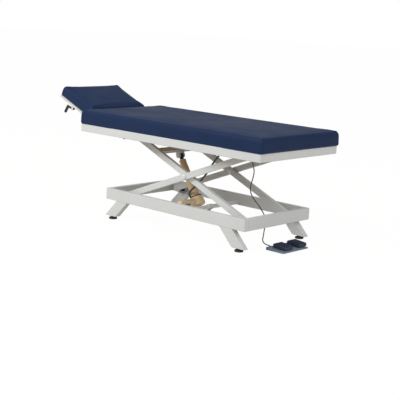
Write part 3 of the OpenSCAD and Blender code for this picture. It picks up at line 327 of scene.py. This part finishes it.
def showPiece(name, mesh, material, body=None, stands=()):
    mesh.materials.clear()
    mesh.materials.append(material)
    piece = bpy.data.objects.new(name, mesh)
    bpy.context.scene.collection.objects.link(piece)
    if body:
        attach(piece, body)
    if stands:
        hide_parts(*stands)
    return piece


def plainMesh(name, points, faces, smooth=True, sharpAngle=35):
    mesh = bpy.data.meshes.new(name)
    mesh.from_pydata([tuple(p) for p in points], [], faces)
    mesh.validate()
    if smooth:
        mesh.shade_smooth()
        mesh.set_sharp_from_angle(angle=math.radians(sharpAngle))
    return mesh


def bakeModifiers(piece):
    # a plain mesh of what the modifiers make; the piece itself is dropped
    bpy.context.view_layer.update()
    result = bpy.data.meshes.new_from_object(
        piece.evaluated_get(bpy.context.evaluated_depsgraph_get()))
    bpy.data.objects.remove(piece)
    return result


def islandsOf(shape):
    left, found = set(shape.verts), []
    while left:
        group, edge = set(), [left.pop()]
        while edge:
            v = edge.pop()
            group.add(v)
            for e in v.link_edges:
                w = e.other_vert(v)
                if w in left:
                    left.discard(w)
                    edge.append(w)
        found.append(group)
    return found


def volumeOf(faces):
    total = 0.0
    for f in faces:
        a = f.verts[0].co
        for b, c in zip(f.verts[1:-1], f.verts[2:]):
            total += a.dot(b.co.cross(c.co)) / 6
    return total


cleaning = {"weld": 1e-5, "flat": math.radians(0.6)}


def cleanCopy(node):
    # the node's mesh, merged, without its closed hollows and without the cuts across flat faces
    shape = bmesh.new()
    shape.from_mesh(cadNodes[node].data)
    bmesh.ops.remove_doubles(shape, verts=shape.verts, dist=cleaning["weld"])
    for island in islandsOf(shape):
        if volumeOf({f for v in island for f in v.link_faces}) < 0:
            bmesh.ops.delete(shape, geom=list(island), context="VERTS")
    bmesh.ops.dissolve_limit(shape, angle_limit=cleaning["flat"], verts=shape.verts,
                             edges=shape.edges)
    points = [v.co.copy() for v in shape.verts]
    shape.verts.index_update()
    faces = [[v.index for v in f.verts] for f in shape.faces]
    shape.free()
    return points, faces


def pieceName(node):
    first, *rest = node.split("_")
    return first + "".join(word.capitalize() for word in rest)


def easeEdges(name, mesh, width, segments, fromAngle=32):
    # broken edges, with the flat faces kept flat in their shading
    piece = bpy.data.objects.new(name, mesh)
    bpy.context.scene.collection.objects.link(piece)
    bevel = piece.modifiers.new("edges", "BEVEL")
    bevel.width, bevel.segments = width, segments
    bevel.limit_method, bevel.angle_limit = "ANGLE", math.radians(fromAngle)
    bevel.harden_normals = True
    bevel.miter_outer = "MITER_ARC"
    mesh.shade_smooth()
    return bakeModifiers(piece)


def easedNode(node, width, segments, material=None):
    points, faces = cleanCopy(node)
    mesh = easeEdges(pieceName(node), plainMesh(node, points, faces, smooth=False), width,
                     segments)
    return showPiece(pieceName(node), mesh, material or finishes[slotOf[node]], bodyOf[node],
                     [node])


# Cables: the routes of the CAD model, in millimetres from the middle of the base

cableLook = {"footDiameter": 0.006, "motorDiameter": 0.012, "ribPitch": 0.005, "ribDepth": 0.001,
             "stopsPerRib": 4, "plainPitch": 0.004, "curveSteps": 12, "sides": 16}
routes = {
    "footCableTop": [(310, -60, 520), (335, -62, 520), (400, -110, 528), (460, -158, 532),
                     (492, -177, 523)],
    "footCableDrop": [(492, -177, 523), (502, -181, 502), (502, -183, 479), (502, -178, 461),
                      (502, -169, 438), (502, -170, 413), (502, -179, 386), (502, -189, 358),
                      (502, -190, 332), (502, -178, 303), (502, -147, 269), (502, -109, 234),
                      (503, -84, 207), (508, -66, 180), (512.5, -62, 158)],
    "footCableLower": [(512.5, -62, 158), (512.5, -62, 142), (512, -59, 126), (508, -56, 98),
                       (505, -57, 64), (504, -60, 33), (514, -55, 16), (540, -54, 10),
                       (571.5, -54, 8)],
    "motorCableTop": [(156, -50, 494), (155, -50, 481), (131, -50, 456), (83, -44, 402),
                      (28.6, -34, 336.15)],
    "motorCableMiddle": [(28.6, -34, 336.15), (-4, -43, 292), (-39, -46, 256), (-66, -45, 233)],
    "motorCableEnd": [(-66, -45, 233), (-89, -41, 212), (-107, -29, 195), (-114, -11, 177),
                      (-106.9, -5, 165.5)],
}
# the cable pieces before and after each one
runOns = {"footCableTop": (None, "footCableDrop"),
          "footCableDrop": ("footCableTop", "footCableLower"),
          "footCableLower": ("footCableDrop", None),
          "motorCableTop": (None, "motorCableMiddle"),
          "motorCableMiddle": ("motorCableTop", "motorCableEnd"),
          "motorCableEnd": ("motorCableMiddle", None)}


def fromBase(point):
    # a point in millimetres from the middle of the base, in metres
    return Vector(point) / 1000 + Vector((places["baseMiddle"], 0, 0))


def smoothRoute(name):
    # a curve through the route's points that runs on into the neighbouring cable pieces
    steps = cableLook["curveSteps"]
    points = [Vector(p) for p in routes[name]]
    before, after = runOns[name]
    first = Vector(routes[before][-2]) if before else points[0]
    last = Vector(routes[after][1]) if after else points[-1]
    reach = [first, *points, last]
    curve = []
    for i in range(1, len(points)):
        a, b, c, d = reach[i - 1:i + 3]
        for k in range(steps):
            t = k / steps
            curve.append(0.5 * (2 * b + (c - a) * t + (2 * a - 5 * b + 4 * c - d) * t ** 2
                                + (3 * b - a - 3 * c + d) * t ** 3))
    curve.append(points[-1])
    return [fromBase(p) for p in curve]


def evenStops(points, pitch):
    # points a fixed pitch apart along a line, and its length
    lengths = [0.0]
    for a, b in zip(points, points[1:]):
        lengths.append(lengths[-1] + (b - a).length)
    count = max(2, round(lengths[-1] / pitch))
    stops, k = [], 0
    for i in range(count + 1):
        s = lengths[-1] * i / count
        while k < len(lengths) - 2 and lengths[k + 1] < s:
            k += 1
        t = (s - lengths[k]) / (lengths[k + 1] - lengths[k])
        stops.append(points[k].lerp(points[k + 1], min(t, 1)))
    return stops, lengths[-1]


def sweptTube(name, points, radii, sides):
    # a tube along a line, turned as little as possible from ring to ring
    side = Vector((0, 1, 0.05))
    verts, faces = [], []
    for i, p in enumerate(points):
        way = (points[min(i + 1, len(points) - 1)] - points[max(i - 1, 0)]).normalized()
        side = (side - side.dot(way) * way).normalized()
        up = way.cross(side)
        for k in range(sides):
            a = 2 * math.pi * k / sides
            verts.append(p + radii[i] * (math.cos(a) * side + math.sin(a) * up))
    for i in range(len(points) - 1):
        for k in range(sides):
            j = (k + 1) % sides
            faces.append([i * sides + k, i * sides + j, (i + 1) * sides + j, (i + 1) * sides + k])
    faces.append(list(range(sides))[::-1])
    faces.append([(len(points) - 1) * sides + k for k in range(sides)])
    return plainMesh(name, verts, faces, sharpAngle=50)


def makeCable(name, ribbed, bodies, stands):
    diameter = cableLook["motorDiameter" if ribbed else "footDiameter"]
    stops = cableLook["stopsPerRib"]
    pitch = cableLook["ribPitch"] / stops if ribbed else cableLook["plainPitch"]
    points, length = evenStops(smoothRoute(name), pitch)
    if ribbed:
        depth = cableLook["ribDepth"]
        radii = [diameter / 2 - depth * (0.5 + 0.5 * math.cos(2 * math.pi * i / stops))
                 for i in range(len(points))]
    else:
        radii = [diameter / 2] * len(points)
    mesh = sweptTube(name, points, radii, cableLook["sides"])
    look = finishes["conduit" if ribbed else "cable_black"]
    piece = showPiece(name, mesh, look, None if len(bodies) == 2 else bodies[0],
                      stands)
    if len(bodies) == 2:
        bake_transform(piece)
    return length


cableLengths = [
    makeCable("footCableTop", False, ["top_frame"], ["foot_cable_upper"]),
    makeCable("footCableDrop", False, ["outer_arms", "inner_arms"], ["foot_cable_upper"]),
    makeCable("footCableLower", False, ["base"], ["foot_cable_lower"]),
    makeCable("motorCableTop", True, ["top_frame", "outer_arms"], ["motor_cable_upper"]),
    makeCable("motorCableMiddle", True, ["inner_arms", "base"], ["motor_cable_lower"]),
    makeCable("motorCableEnd", True, ["base", "actuator_body"], ["motor_cable_lower"]),
]
print("cables made, metres:", [round(v, 3) for v in cableLengths])

# Upholstery: foam blocks under a tight vinyl cover, blown up a little by the cloth solver

cushions = {
    "mattressCover": {"length": 1.452, "width": 0.6985, "height": 0.0870, "voxel": 0.0095,
                      "middle": 0.1636, "body": "top_frame", "node": "mattress",
                      "recess": (-0.698, 0.699, 0.329)},
    "headCover": {"length": 0.311, "width": 0.471, "height": 0.0670, "voxel": 0.0062,
                  "middle": 0.1880, "body": "head_section", "node": "head_cushion",
                  "recess": (-0.138, 0.138, 0.220)},
}
cushionLook = {"corner": 0.011, "leastCorner": 0.003, "pull": 0.002, "crown": 0.003,
               "crownLoops": (0.15, 0.35, 0.6, 0.85), "lift": -0.0012, "recessHeight": 0.0042,
               "longSide": 26, "shortSide": 12}
coverCloth = {"quality": 4, "mass": 0.5, "stretch": 40, "shear": 20, "bend": 2, "pressure": 4.0,
              "frames": 20, "cap": 0.005, "heldBelow": 0.008}
# the side from the bottom up: how far drawn in, in metres, and the share of the height
cushionSide = [(0.0060, 0.0), (0.0028, 0.09), (0.0007, 0.25), (0.0, 0.42), (0.0004, 0.58),
               (0.0014, 0.72), (0.0034, 0.84), (0.0064, 0.93), (0.0105, 0.98), (0.0160, 1.0)]


def roundedOutline(length, width, corner, pull):
    # a loop of points, each side drawn in a little between its corners
    a, b = length / 2, width / 2
    corners = [(a - corner, -b + corner, -90), (a - corner, b - corner, 0),
               (-a + corner, b - corner, 90), (-a + corner, -b + corner, 180)]
    loop = []
    for i, (x, y, start) in enumerate(corners):
        arc = [(x + corner * math.cos(math.radians(start + t)),
                y + corner * math.sin(math.radians(start + t))) for t in (0, 22.5, 45, 67.5, 90)]
        loop += arc
        nx, ny, nextStart = corners[(i + 1) % 4]
        end = (nx + corner * math.cos(math.radians(nextStart)),
               ny + corner * math.sin(math.radians(nextStart)))
        count = cushionLook["shortSide" if i % 2 == 0 else "longSide"]
        inward = (-math.cos(math.radians(start + 90)), -math.sin(math.radians(start + 90)))
        for k in range(1, count):
            t = k / count
            draw = pull * 4 * t * (1 - t)
            loop.append((arc[-1][0] + (end[0] - arc[-1][0]) * t + inward[0] * draw,
                         arc[-1][1] + (end[1] - arc[-1][1]) * t + inward[1] * draw))
    return loop


def foamBlock(name, size):
    # the block as stacked loops: underside, bulging side, rounded edge and crowned top
    height, edge, crown = size["height"], cushionSide[-1][0], cushionLook["crown"]
    steps = [(drawn, share * height) for drawn, share in cushionSide]
    steps += [(edge + f * (size["width"] / 2 - edge), height + crown * (1 - (1 - f) ** 2))
              for f in cushionLook["crownLoops"]]
    verts, faces = [], []
    for drawn, z in steps:
        corner = max(cushionLook["corner"] - drawn, cushionLook["leastCorner"])
        loop = roundedOutline(size["length"] - 2 * drawn, size["width"] - 2 * drawn, corner,
                              cushionLook["pull"])
        verts += [(x, y, z) for x, y in loop]
    count = len(loop)
    for i in range(len(steps) - 1):
        for k in range(count):
            j = (k + 1) % count
            faces.append([i * count + k, i * count + j, (i + 1) * count + j, (i + 1) * count + k])
    faces.append(list(range(count))[::-1])
    faces.append([(len(steps) - 1) * count + k for k in range(count)])
    return plainMesh(name, verts, faces, smooth=False)


def sinkPanel(mesh, size):
    # the underside's recess, in which the plywood panel lies
    low, high, across = size["recess"]
    for v in mesh.vertices:
        if v.co.z < cushionLook["recessHeight"] and low < v.co.x < high and abs(v.co.y) < across:
            v.co.z = cushionLook["recessHeight"]


def evenMesh(name, size):
    # the foam block in even faces, which the cloth solver needs
    piece = bpy.data.objects.new(name, foamBlock(name, size))
    bpy.context.scene.collection.objects.link(piece)
    remesh = piece.modifiers.new("even", "REMESH")
    remesh.mode, remesh.voxel_size, remesh.use_smooth_shade = "VOXEL", size["voxel"], True
    calm = piece.modifiers.new("calm", "SMOOTH")
    calm.factor, calm.iterations = 0.5, 2
    return bakeModifiers(piece)


def blownMesh(name, mesh):
    # the cover swollen by its foam, with each point held to a small move
    rest = [v.co.copy() for v in mesh.vertices]
    piece = bpy.data.objects.new(name, mesh)
    bpy.context.scene.collection.objects.link(piece)
    held = piece.vertex_groups.new(name="held")
    for v in mesh.vertices:
        if v.co.z < coverCloth["heldBelow"]:
            held.add([v.index], 1.0, "REPLACE")
    cloth = piece.modifiers.new("cover", "CLOTH")
    settings = cloth.settings
    settings.quality = coverCloth["quality"]
    settings.mass = coverCloth["mass"]
    settings.tension_stiffness = settings.compression_stiffness = coverCloth["stretch"]
    settings.shear_stiffness = coverCloth["shear"]
    settings.bending_stiffness = coverCloth["bend"]
    settings.vertex_group_mass = "held"
    settings.use_pressure = True
    settings.uniform_pressure_force = coverCloth["pressure"]
    settings.effector_weights.gravity = 0
    cloth.collision_settings.use_collision = False
    cloth.collision_settings.use_self_collision = False
    cloth.point_cache.frame_end = coverCloth["frames"]
    for step in range(1, coverCloth["frames"] + 1):
        bpy.context.scene.frame_set(step)
    blown = bakeModifiers(piece)
    bpy.context.scene.frame_set(1)
    cap = coverCloth["cap"]
    for v, start in zip(blown.vertices, rest):
        move = v.co - start
        far = move.length
        if far > 0:
            v.co = start + move * (cap * math.tanh(far / cap) / far)
    piece = bpy.data.objects.new(name, blown)
    bpy.context.scene.collection.objects.link(piece)
    finer = piece.modifiers.new("finer", "SUBSURF")
    finer.levels = finer.render_levels = 1
    return bakeModifiers(piece)


def makeCushion(name, size):
    mesh = evenMesh(name, size)
    mesh = blownMesh(name, mesh)
    sinkPanel(mesh, size)
    mesh.shade_smooth()
    if size["body"] == "top_frame":
        place = Matrix.Translation((size["middle"], 0, places["topOfRails"] + cushionLook["lift"]))
    else:
        turn = places["headAngle"]
        out = Vector((-math.cos(turn), 0, math.sin(turn)))
        up = Vector((math.sin(turn), 0, math.cos(turn)))
        rise = places["headPanelTop"] + cushionLook["lift"]
        at = places["hinge"] + out * size["middle"] + up * rise
        place = Matrix((-out, (0, 1, 0), up)).transposed().to_4x4()
        place.translation = at
    mesh.transform(place)
    piece = showPiece(name, mesh, finishes["navy_vinyl"], size["body"],
                      [size["node"]])


for name, size in cushions.items():
    makeCushion(name, size)
print("upholstery made")

# Edge radii in metres: a drawn tube has about one and a half walls, a cut plate is deburred
edgeRadii = {
    0.0035: ["base_side_rail_near", "base_side_rail_far", "base_head_rail", "base_foot_rail",
             "top_side_rail_near", "top_side_rail_far", "top_head_rail", "top_foot_rail",
             "inner_arm_near", "inner_arm_far", "outer_arm_near", "outer_arm_far"],
    0.003: ["leg_head_near", "leg_head_far", "leg_foot_near", "leg_foot_far"],
    0.002: ["top_cross_rails", "lifting_cross_tube", "outer_cross_tube"],
    0.0015: ["mattress_panel", "head_panel", "guide_tube", "release_lever"],
    0.0005: ["push_rod", "piston_rod"],
    0.0040: ["pedal_raise", "pedal_lower", "actuator_motor"],
    0.0008: ["base_slide_guides", "base_pivot_bosses", "base_cross_tube", "rod_clevis",
             "top_slide_guides", "top_pivot_brackets", "head_brackets", "head_side_bars",
             "head_cross_bars", "lower_slide_blocks", "upper_slide_blocks", "housing_gasket",
             "rod_eye", "floor_pads", "foot_cable_clip", "top_pivot_pins", "middle_pins",
             "base_pins", "upper_slide_pins", "lower_slide_pins", "gas_cylinder", "pin_caps",
             "middle_bushes"],
    0.0025: ["control_box", "gear_housing", "foot_switch_plate"],
}
for node in cadNodes:
    cadNodes[node].data.materials.clear()
    cadNodes[node].data.materials.append(finishes[slotOf[node]])
# the guide tube takes the darker copy of the tan plastic, which is painted shade
ownFinish = {"pin_caps": "cap", "floor_pads": "rubber", "housing_gasket": "rubber",
             "release_lever": "rubber", "guide_tube": "tube", "lower_slide_pins": "white_enamel"}
eased = {}
largeRadius = 0.003  # above this an edge has three facets instead of two
for width, names in edgeRadii.items():
    for node in names:
        look = finishes[ownFinish[node]] if node in ownFinish else None
        eased[node] = easedNode(node, width, 3 if width > largeRadius else 2, look)


def paintFaces(node, finish, chosen):
    # a second finish on the faces whose middle is chosen
    mesh = eased[node].data
    mesh.materials.append(finishes[finish])
    for face in mesh.polygons:
        if chosen(face.center):
            face.material_index = 1


# the discs beside the rod eye, and the bolt under the cross tube, in metres; the bolt's black also
# stands in as painted shade under the bracket's end
secondFinish = {"discsFromY": 0.0224, "boltReach": 0.012, "boltBelow": 0.1255}
boltX = places["baseMiddle"] + places["boltAlong"]
paintFaces("rod_eye", "white_enamel", lambda c: abs(c.y) > secondFinish["discsFromY"])
# black on the pin ends under the cross tube: partly the bolt head's own black, partly painted shade
# under the bracket's end
paintFaces("base_pins", "black_plastic",
           lambda c: abs(c.x - boltX) < secondFinish["boltReach"] and c.z < secondFinish["boltBelow"])
print("eased pieces made:", len(eased))

# Geometry Nodes: one shape on each point of a mesh, and a weld bead along a line


def startTree(name, extra):
    tree = bpy.data.node_groups.new(name, "GeometryNodeTree")
    sockets = [("Geometry", "OUTPUT", "NodeSocketGeometry"),
               ("Geometry", "INPUT", "NodeSocketGeometry"),
               ("Finish", "INPUT", "NodeSocketMaterial")]
    for label, way, kind in sockets + [(label, "INPUT", kind) for label, kind in extra]:
        tree.interface.new_socket(label, in_out=way, socket_type=kind)
    return tree, addNode(tree, "NodeGroupInput").outputs


def endTree(tree, given, placed):
    real = addNode(tree, "GeometryNodeRealizeInstances", {"Geometry": placed})
    painted = addNode(tree, "GeometryNodeSetMaterial", {"Geometry": real.outputs[0],
                                                        "Material": given["Finish"]})
    addNode(tree, "NodeGroupOutput", {"Geometry": painted.outputs[0]})
    return tree


def makeRepeatTree():
    tree, given = startTree("repeatOnPoints", [("Shape", "NodeSocketObject"),
                                               ("Size", "NodeSocketFloat")])
    shape = addNode(tree, "GeometryNodeObjectInfo", {"Object": given["Shape"]})
    placed = addNode(tree, "GeometryNodeInstanceOnPoints", {
        "Points": given["Geometry"], "Instance": shape.outputs["Geometry"], "Scale": given["Size"]})
    return endTree(tree, given, placed.outputs[0])


def makeBeadTree():
    # overlapping scales, each a little larger or smaller than the last
    tree, given = startTree("weldBead", [("Radius", "NodeSocketFloat"), ("Pitch", "NodeSocketFloat"),
                                         ("Seed", "NodeSocketInt")])
    line = addNode(tree, "GeometryNodeMeshToCurve", {"Mesh": given["Geometry"]})
    even = addNode(tree, "GeometryNodeCurveToPoints", {"Curve": line.outputs[0],
                                                       "Length": given["Pitch"]}, mode="LENGTH")
    scale = addNode(tree, "GeometryNodeMeshIcoSphere", {"Radius": given["Radius"],
                                                        "Subdivisions": 2})
    smooth = addNode(tree, "GeometryNodeSetShadeSmooth", {"Geometry": scale.outputs[0]})
    vary = addNode(tree, "FunctionNodeRandomValue", {2: 0.85, 3: 1.1, "Seed": given["Seed"]})
    placed = addNode(tree, "GeometryNodeInstanceOnPoints", {
        "Points": even.outputs[0], "Instance": smooth.outputs[0], "Scale": vary.outputs[1]})
    return endTree(tree, given, placed.outputs[0])


trees = {"repeat": makeRepeatTree(), "bead": makeBeadTree()}


def grownMesh(name, points, edges, tree, values):
    mesh = bpy.data.meshes.new(name)
    mesh.from_pydata([tuple(p) for p in points], edges, [])
    piece = bpy.data.objects.new(name, mesh)
    bpy.context.scene.collection.objects.link(piece)
    grow = piece.modifiers.new("grow", "NODES")
    grow.node_group = trees[tree]
    for item in trees[tree].interface.items_tree:
        if item.in_out == "INPUT" and item.name in values:
            grow[item.identifier] = values[item.name]
    return bakeModifiers(piece)


def lathedMesh(name, profile, count):
    # profile points are (height, radius); the ends are closed
    verts, faces = [], []
    for h, radius in profile:
        verts += [(radius * math.cos(2 * math.pi * k / count),
                   radius * math.sin(2 * math.pi * k / count), h) for k in range(count)]
    for i in range(len(profile) - 1):
        for k in range(count):
            j = (k + 1) % count
            faces.append([i * count + k, i * count + j, (i + 1) * count + j, (i + 1) * count + k])
    faces.append(list(range(count))[::-1])
    faces.append([(len(profile) - 1) * count + k for k in range(count)])
    return plainMesh(name, verts, faces)


def turnTo(at, way):
    # a place whose own Z points along the given way
    return Matrix.Translation(at) @ Vector(way).to_track_quat("Z", "X").to_matrix().to_4x4()


# Actuator: its gland, rings and the blank patch, in metres
actuator = {"motorAlong": 0.045, "motorRadius": 0.02325, "patchFrom": -0.086, "patchTo": -0.134,
            "patchMiddle": -24, "patchHalf": 30, "patchSteps": 12, "patchSunk": 0.99,
            "mouth": 0.318, "seat": 0.081, "ringSides": 48, "glandSides": 24,
            "gland": [(0, 0.0088), (0.0015, 0.0092), (0.005, 0.0092), (0.0062, 0.0084),
                      (0.009, 0.0078), (0.011, 0.0066), (0.0118, 0.006)],
            "mouthRing": [(-0.009, 0.0206), (-0.008, 0.0218), (-0.001, 0.0216), (0.0002, 0.0208),
                          (0.0006, 0.0190), (0.0006, 0.0110)],
            "seatRing": [(0, 0.0290), (0.0014, 0.0298), (0.0036, 0.0292), (0.0052, 0.0272),
                         (0.0060, 0.0262), (0.0060, 0.0200)]}


def makeActuatorParts():
    way = (places["upperPin"] - places["lowerPin"]).normalized()
    for name, profile, along in (("tubeMouthRing", "mouthRing", "mouth"),
                                 ("tubeSeatRing", "seatRing", "seat")):
        mesh = lathedMesh(name, actuator[profile], actuator["ringSides"])
        mesh.transform(turnTo(places["lowerPin"] + way * actuator[along], way))
        # the rings take the tube's darker tan, painted shade
        showPiece(name, mesh, finishes["tube"], "actuator_body")
    before, end = [fromBase(p) for p in routes["motorCableEnd"][-2:]]
    mesh = lathedMesh("cableGland", actuator["gland"], actuator["glandSides"])
    mesh.transform(turnTo(end, before - end))
    showPiece("cableGland", mesh, finishes["black_plastic"], "actuator_body")
    middle = places["lowerPin"] + way * actuator["motorAlong"]
    verts, faces, steps, sunk = [], [], actuator["patchSteps"], actuator["patchSunk"]
    for i in range(steps + 1):
        a = math.radians(actuator["patchMiddle"] + actuator["patchHalf"] * (2 * i / steps - 1))
        for radius, y in ((sunk, "patchFrom"), (1.0, "patchFrom"), (1.0, "patchTo"),
                          (sunk, "patchTo")):
            verts.append((middle.x + radius * actuator["motorRadius"] * math.cos(a), actuator[y],
                          middle.z + radius * actuator["motorRadius"] * math.sin(a)))
    for i in range(steps):
        for k in range(4):
            j = (k + 1) % 4
            faces.append([4 * i + k, 4 * i + j, 4 * i + 4 + j, 4 * i + 4 + k])
    faces += [[3, 2, 1, 0], [4 * steps + k for k in range(4)]]
    showPiece("motorPatch", plainMesh("motorPatch", verts, faces), finishes["foil"],
              "actuator_body")


makeActuatorParts()

# Foot switch: ribs on the pedals and screws in the plate, in metres from the plate's back edge
footSwitch = {"backX": 0.766029, "middleY": -0.0025, "pitch": 0.123, "shift": 0.013,
              "pedalBack": 0.028, "pedalLength": 0.086, "backTop": 0.038, "frontTop": 0.031,
              "ribs": 10, "firstRib": 0.012, "ribWidth": 0.058, "ribThick": 0.0032,
              "ribHigh": 0.0016, "ribSunk": 0.001, "screwSides": 18, "screwSunk": 0.0004,
              "plateLength": 0.126, "plateWidth": 0.225, "screwIn": 0.011,
              "plateBack": 0.015, "plateFront": 0.007}
screwHead = [(0, 0.0038), (0.0010, 0.0038), (0.0016, 0.0033), (0.0018, 0.0026), (0.0008, 0.0017),
             (0.0007, 0.0004)]


def makeFootSwitchParts():
    look = footSwitch
    half, thick, high = look["ribWidth"] / 2, look["ribThick"] / 2, look["ribHigh"]
    sunk = -look["ribSunk"]
    outline = [(-thick, sunk), (-thick, high * 0.4), (-thick * 0.55, high), (thick * 0.55, high),
               (thick, high * 0.4), (thick, sunk)]
    verts = [(x, y, z) for y in (-half, half) for x, z in outline]
    count = len(outline)
    faces = [[k, (k + 1) % count, count + (k + 1) % count, count + k] for k in range(count)]
    faces += [list(range(count))[::-1], [count + k for k in range(count)]]
    rib = bpy.data.objects.new("pedalRib", plainMesh(
        "pedalRib", verts, [f[::-1] for f in faces], sharpAngle=25))
    slope = (look["backTop"] - look["frontTop"]) / look["pedalLength"]
    first = look["firstRib"]
    step = (look["pedalLength"] - 2 * first) / (look["ribs"] - 1)
    for name, side, body in (("pedalRaiseRibs", -1, "raise_pedal"),
                             ("pedalLowerRibs", 1, "lower_pedal")):
        x0 = look["backX"] + look["pedalBack"]
        y0 = look["middleY"] + look["shift"] + side * look["pitch"] / 2
        points = [(x0 + first + k * step, y0, look["backTop"] - slope * (first + k * step))
                  for k in range(look["ribs"])]
        mesh = grownMesh(name, points, [], "repeat", {"Shape": rib, "Size": 1.0,
                                                      "Finish": finishes["pedal_rubber"]})
        showPiece(name, mesh, finishes["pedal_rubber"], body)
    screw = bpy.data.objects.new("plateScrew", lathedMesh("plateScrew", screwHead,
                                                          look["screwSides"]))
    fall = (look["plateBack"] - look["plateFront"]) / look["plateLength"]
    seat = look["plateBack"] - look["screwSunk"]
    corners = [(look["backX"] + x, look["middleY"] + y, seat - fall * x)
               for x in (look["screwIn"], look["plateLength"] - look["screwIn"])
               for y in (-look["plateWidth"] / 2 + look["screwIn"],
                         look["plateWidth"] / 2 - look["screwIn"])]
    mesh = grownMesh("plateScrews", corners, [], "repeat", {"Shape": screw, "Size": 1.0,
                                                            "Finish": finishes["bright_steel"]})
    showPiece("plateScrews", mesh, finishes["bright_steel"], "base")


makeFootSwitchParts()

# Weld beads under the powder coat, in metres from the middle of the base
welds = {"radius": 0.0026, "pitch": 0.0021, "seed": 4, "baseHalf": 0.5575, "baseSide": 0.288,
         "legInset": 0.093, "legAcross": 0.0917, "legThick": 0.038, "edgeGap": 0.003,
         "railBottom": 0.119, "crossZ": 0.137, "crossRadius": 0.0125, "crossPoints": 24,
         "railIn": 0.258}


def makeWelds():
    points, edges = [], []

    def addLine(line, closed=False):
        start = len(points)
        points.extend(line)
        edges.extend((start + k, start + k + 1) for k in range(len(line) - 1))
        if closed:
            edges.append((start + len(line) - 1, start))

    middle = places["baseMiddle"]
    for end in (-1, 1):
        for side in (-1, 1):
            outer = middle + end * (welds["baseHalf"] - welds["legInset"])
            inner = outer - end * welds["legAcross"]
            y = side * (welds["baseSide"] - welds["legThick"])
            addLine([(outer, y, welds["railBottom"]), (inner, y, welds["railBottom"])])
            for x in (outer, inner):
                addLine([(x, y, welds["railBottom"]),
                         (x, side * (welds["baseSide"] - welds["edgeGap"]), welds["railBottom"])])
    radius, count = welds["crossRadius"], welds["crossPoints"]
    angles = [2 * math.pi * k / count for k in range(count)]
    for side in (-1, 1):
        addLine([(middle + places["boltAlong"] + radius * math.cos(a), side * welds["railIn"],
                  welds["crossZ"] + radius * math.sin(a)) for a in angles], closed=True)
    mesh = grownMesh("baseWelds", points, edges, "bead", {
        "Radius": welds["radius"], "Pitch": welds["pitch"], "Seed": welds["seed"],
        "Finish": finishes["white_enamel"]})
    showPiece("baseWelds", mesh, finishes["white_enamel"], "base")


makeWelds()
print("small parts made")

# Stage and light

stageLook = {"floorSize": 60, "floorTone": "#B6AFA4", "studioTone": "#F4F6FA",
             "studioStrength": 0.50, "whiteShare": 0.93, "floorGlow": 1.05}
lamps = {
    "keyLight": {"at": (-1.2, -4.2, 3.4), "to": (0.1, 0, 0.5), "size": (3.2, 2.0), "watts": 150},
    "footLight": {"at": (4.6, -0.6, 2.2), "to": (0.5, 0, 0.5), "size": (2.0, 2.0), "watts": 47},
    "topLight": {"at": (0.0, 0.4, 4.0), "to": (0, 0, 0.6), "size": (3.5, 2.5), "watts": 10},
}


def makeStage():
    half = stageLook["floorSize"] / 2
    mesh = plainMesh("floor", [(-half, -half, 0), (half, -half, 0), (half, half, 0),
                               (-half, half, 0)], [[0, 1, 2, 3]], smooth=False)
    material, tree, where = startMaterial("paleFloor")
    path = addNode(tree, "ShaderNodeLightPath")
    seen = addNode(tree, "ShaderNodeMath", {0: path.outputs["Is Camera Ray"],
                                            1: path.outputs["Is Glossy Ray"]}, operation="MAXIMUM")
    seen = addNode(tree, "ShaderNodeMath", {0: seen.outputs[0],
                                            1: path.outputs["Is Transmission Ray"]},
                   operation="MAXIMUM")
    share = addNode(tree, "ShaderNodeMath", {0: seen.outputs[0], 1: stageLook["whiteShare"]},
                    operation="MULTIPLY")
    paint = addNode(tree, "ShaderNodeBsdfDiffuse", {"Color": toLinear(stageLook["floorTone"])})
    white = addNode(tree, "ShaderNodeEmission", {"Color": (1, 1, 1, 1),
                                                    "Strength": stageLook["floorGlow"]})
    both = addNode(tree, "ShaderNodeMixShader", {0: share.outputs[0], 1: paint.outputs[0],
                                                 2: white.outputs[0]})
    addNode(tree, "ShaderNodeOutputMaterial", {"Surface": both.outputs[0]})
    floor = showPiece("floor", mesh, material)

    world = bpy.data.worlds.new("studio")
    world.use_nodes = True
    tree = world.node_tree
    tree.nodes.clear()
    seen = addNode(tree, "ShaderNodeLightPath")
    soft = addNode(tree, "ShaderNodeBackground", {"Color": toLinear(stageLook["studioTone"]),
                                                  "Strength": stageLook["studioStrength"]})
    white = addNode(tree, "ShaderNodeBackground", {"Color": (1, 1, 1, 1), "Strength": 1.0})
    both = addNode(tree, "ShaderNodeMixShader", {0: seen.outputs[0], 1: soft.outputs[0],
                                                 2: white.outputs[0]})
    addNode(tree, "ShaderNodeOutputWorld", {"Surface": both.outputs[0]})
    bpy.context.scene.world = world

    for name, lamp in lamps.items():
        data = bpy.data.lights.new(name, "AREA")
        data.shape, data.energy = "RECTANGLE", lamp["watts"]
        data.size, data.size_y = lamp["size"]
        light = bpy.data.objects.new(name, data)
        light.location = lamp["at"]
        way = Vector(lamp["to"]) - Vector(lamp["at"])
        light.rotation_euler = way.to_track_quat("-Z", "Y").to_euler()
        bpy.context.scene.collection.objects.link(light)


makeStage()
bpy.context.scene.view_settings.view_transform = "Standard"
print("stage and lamps made")
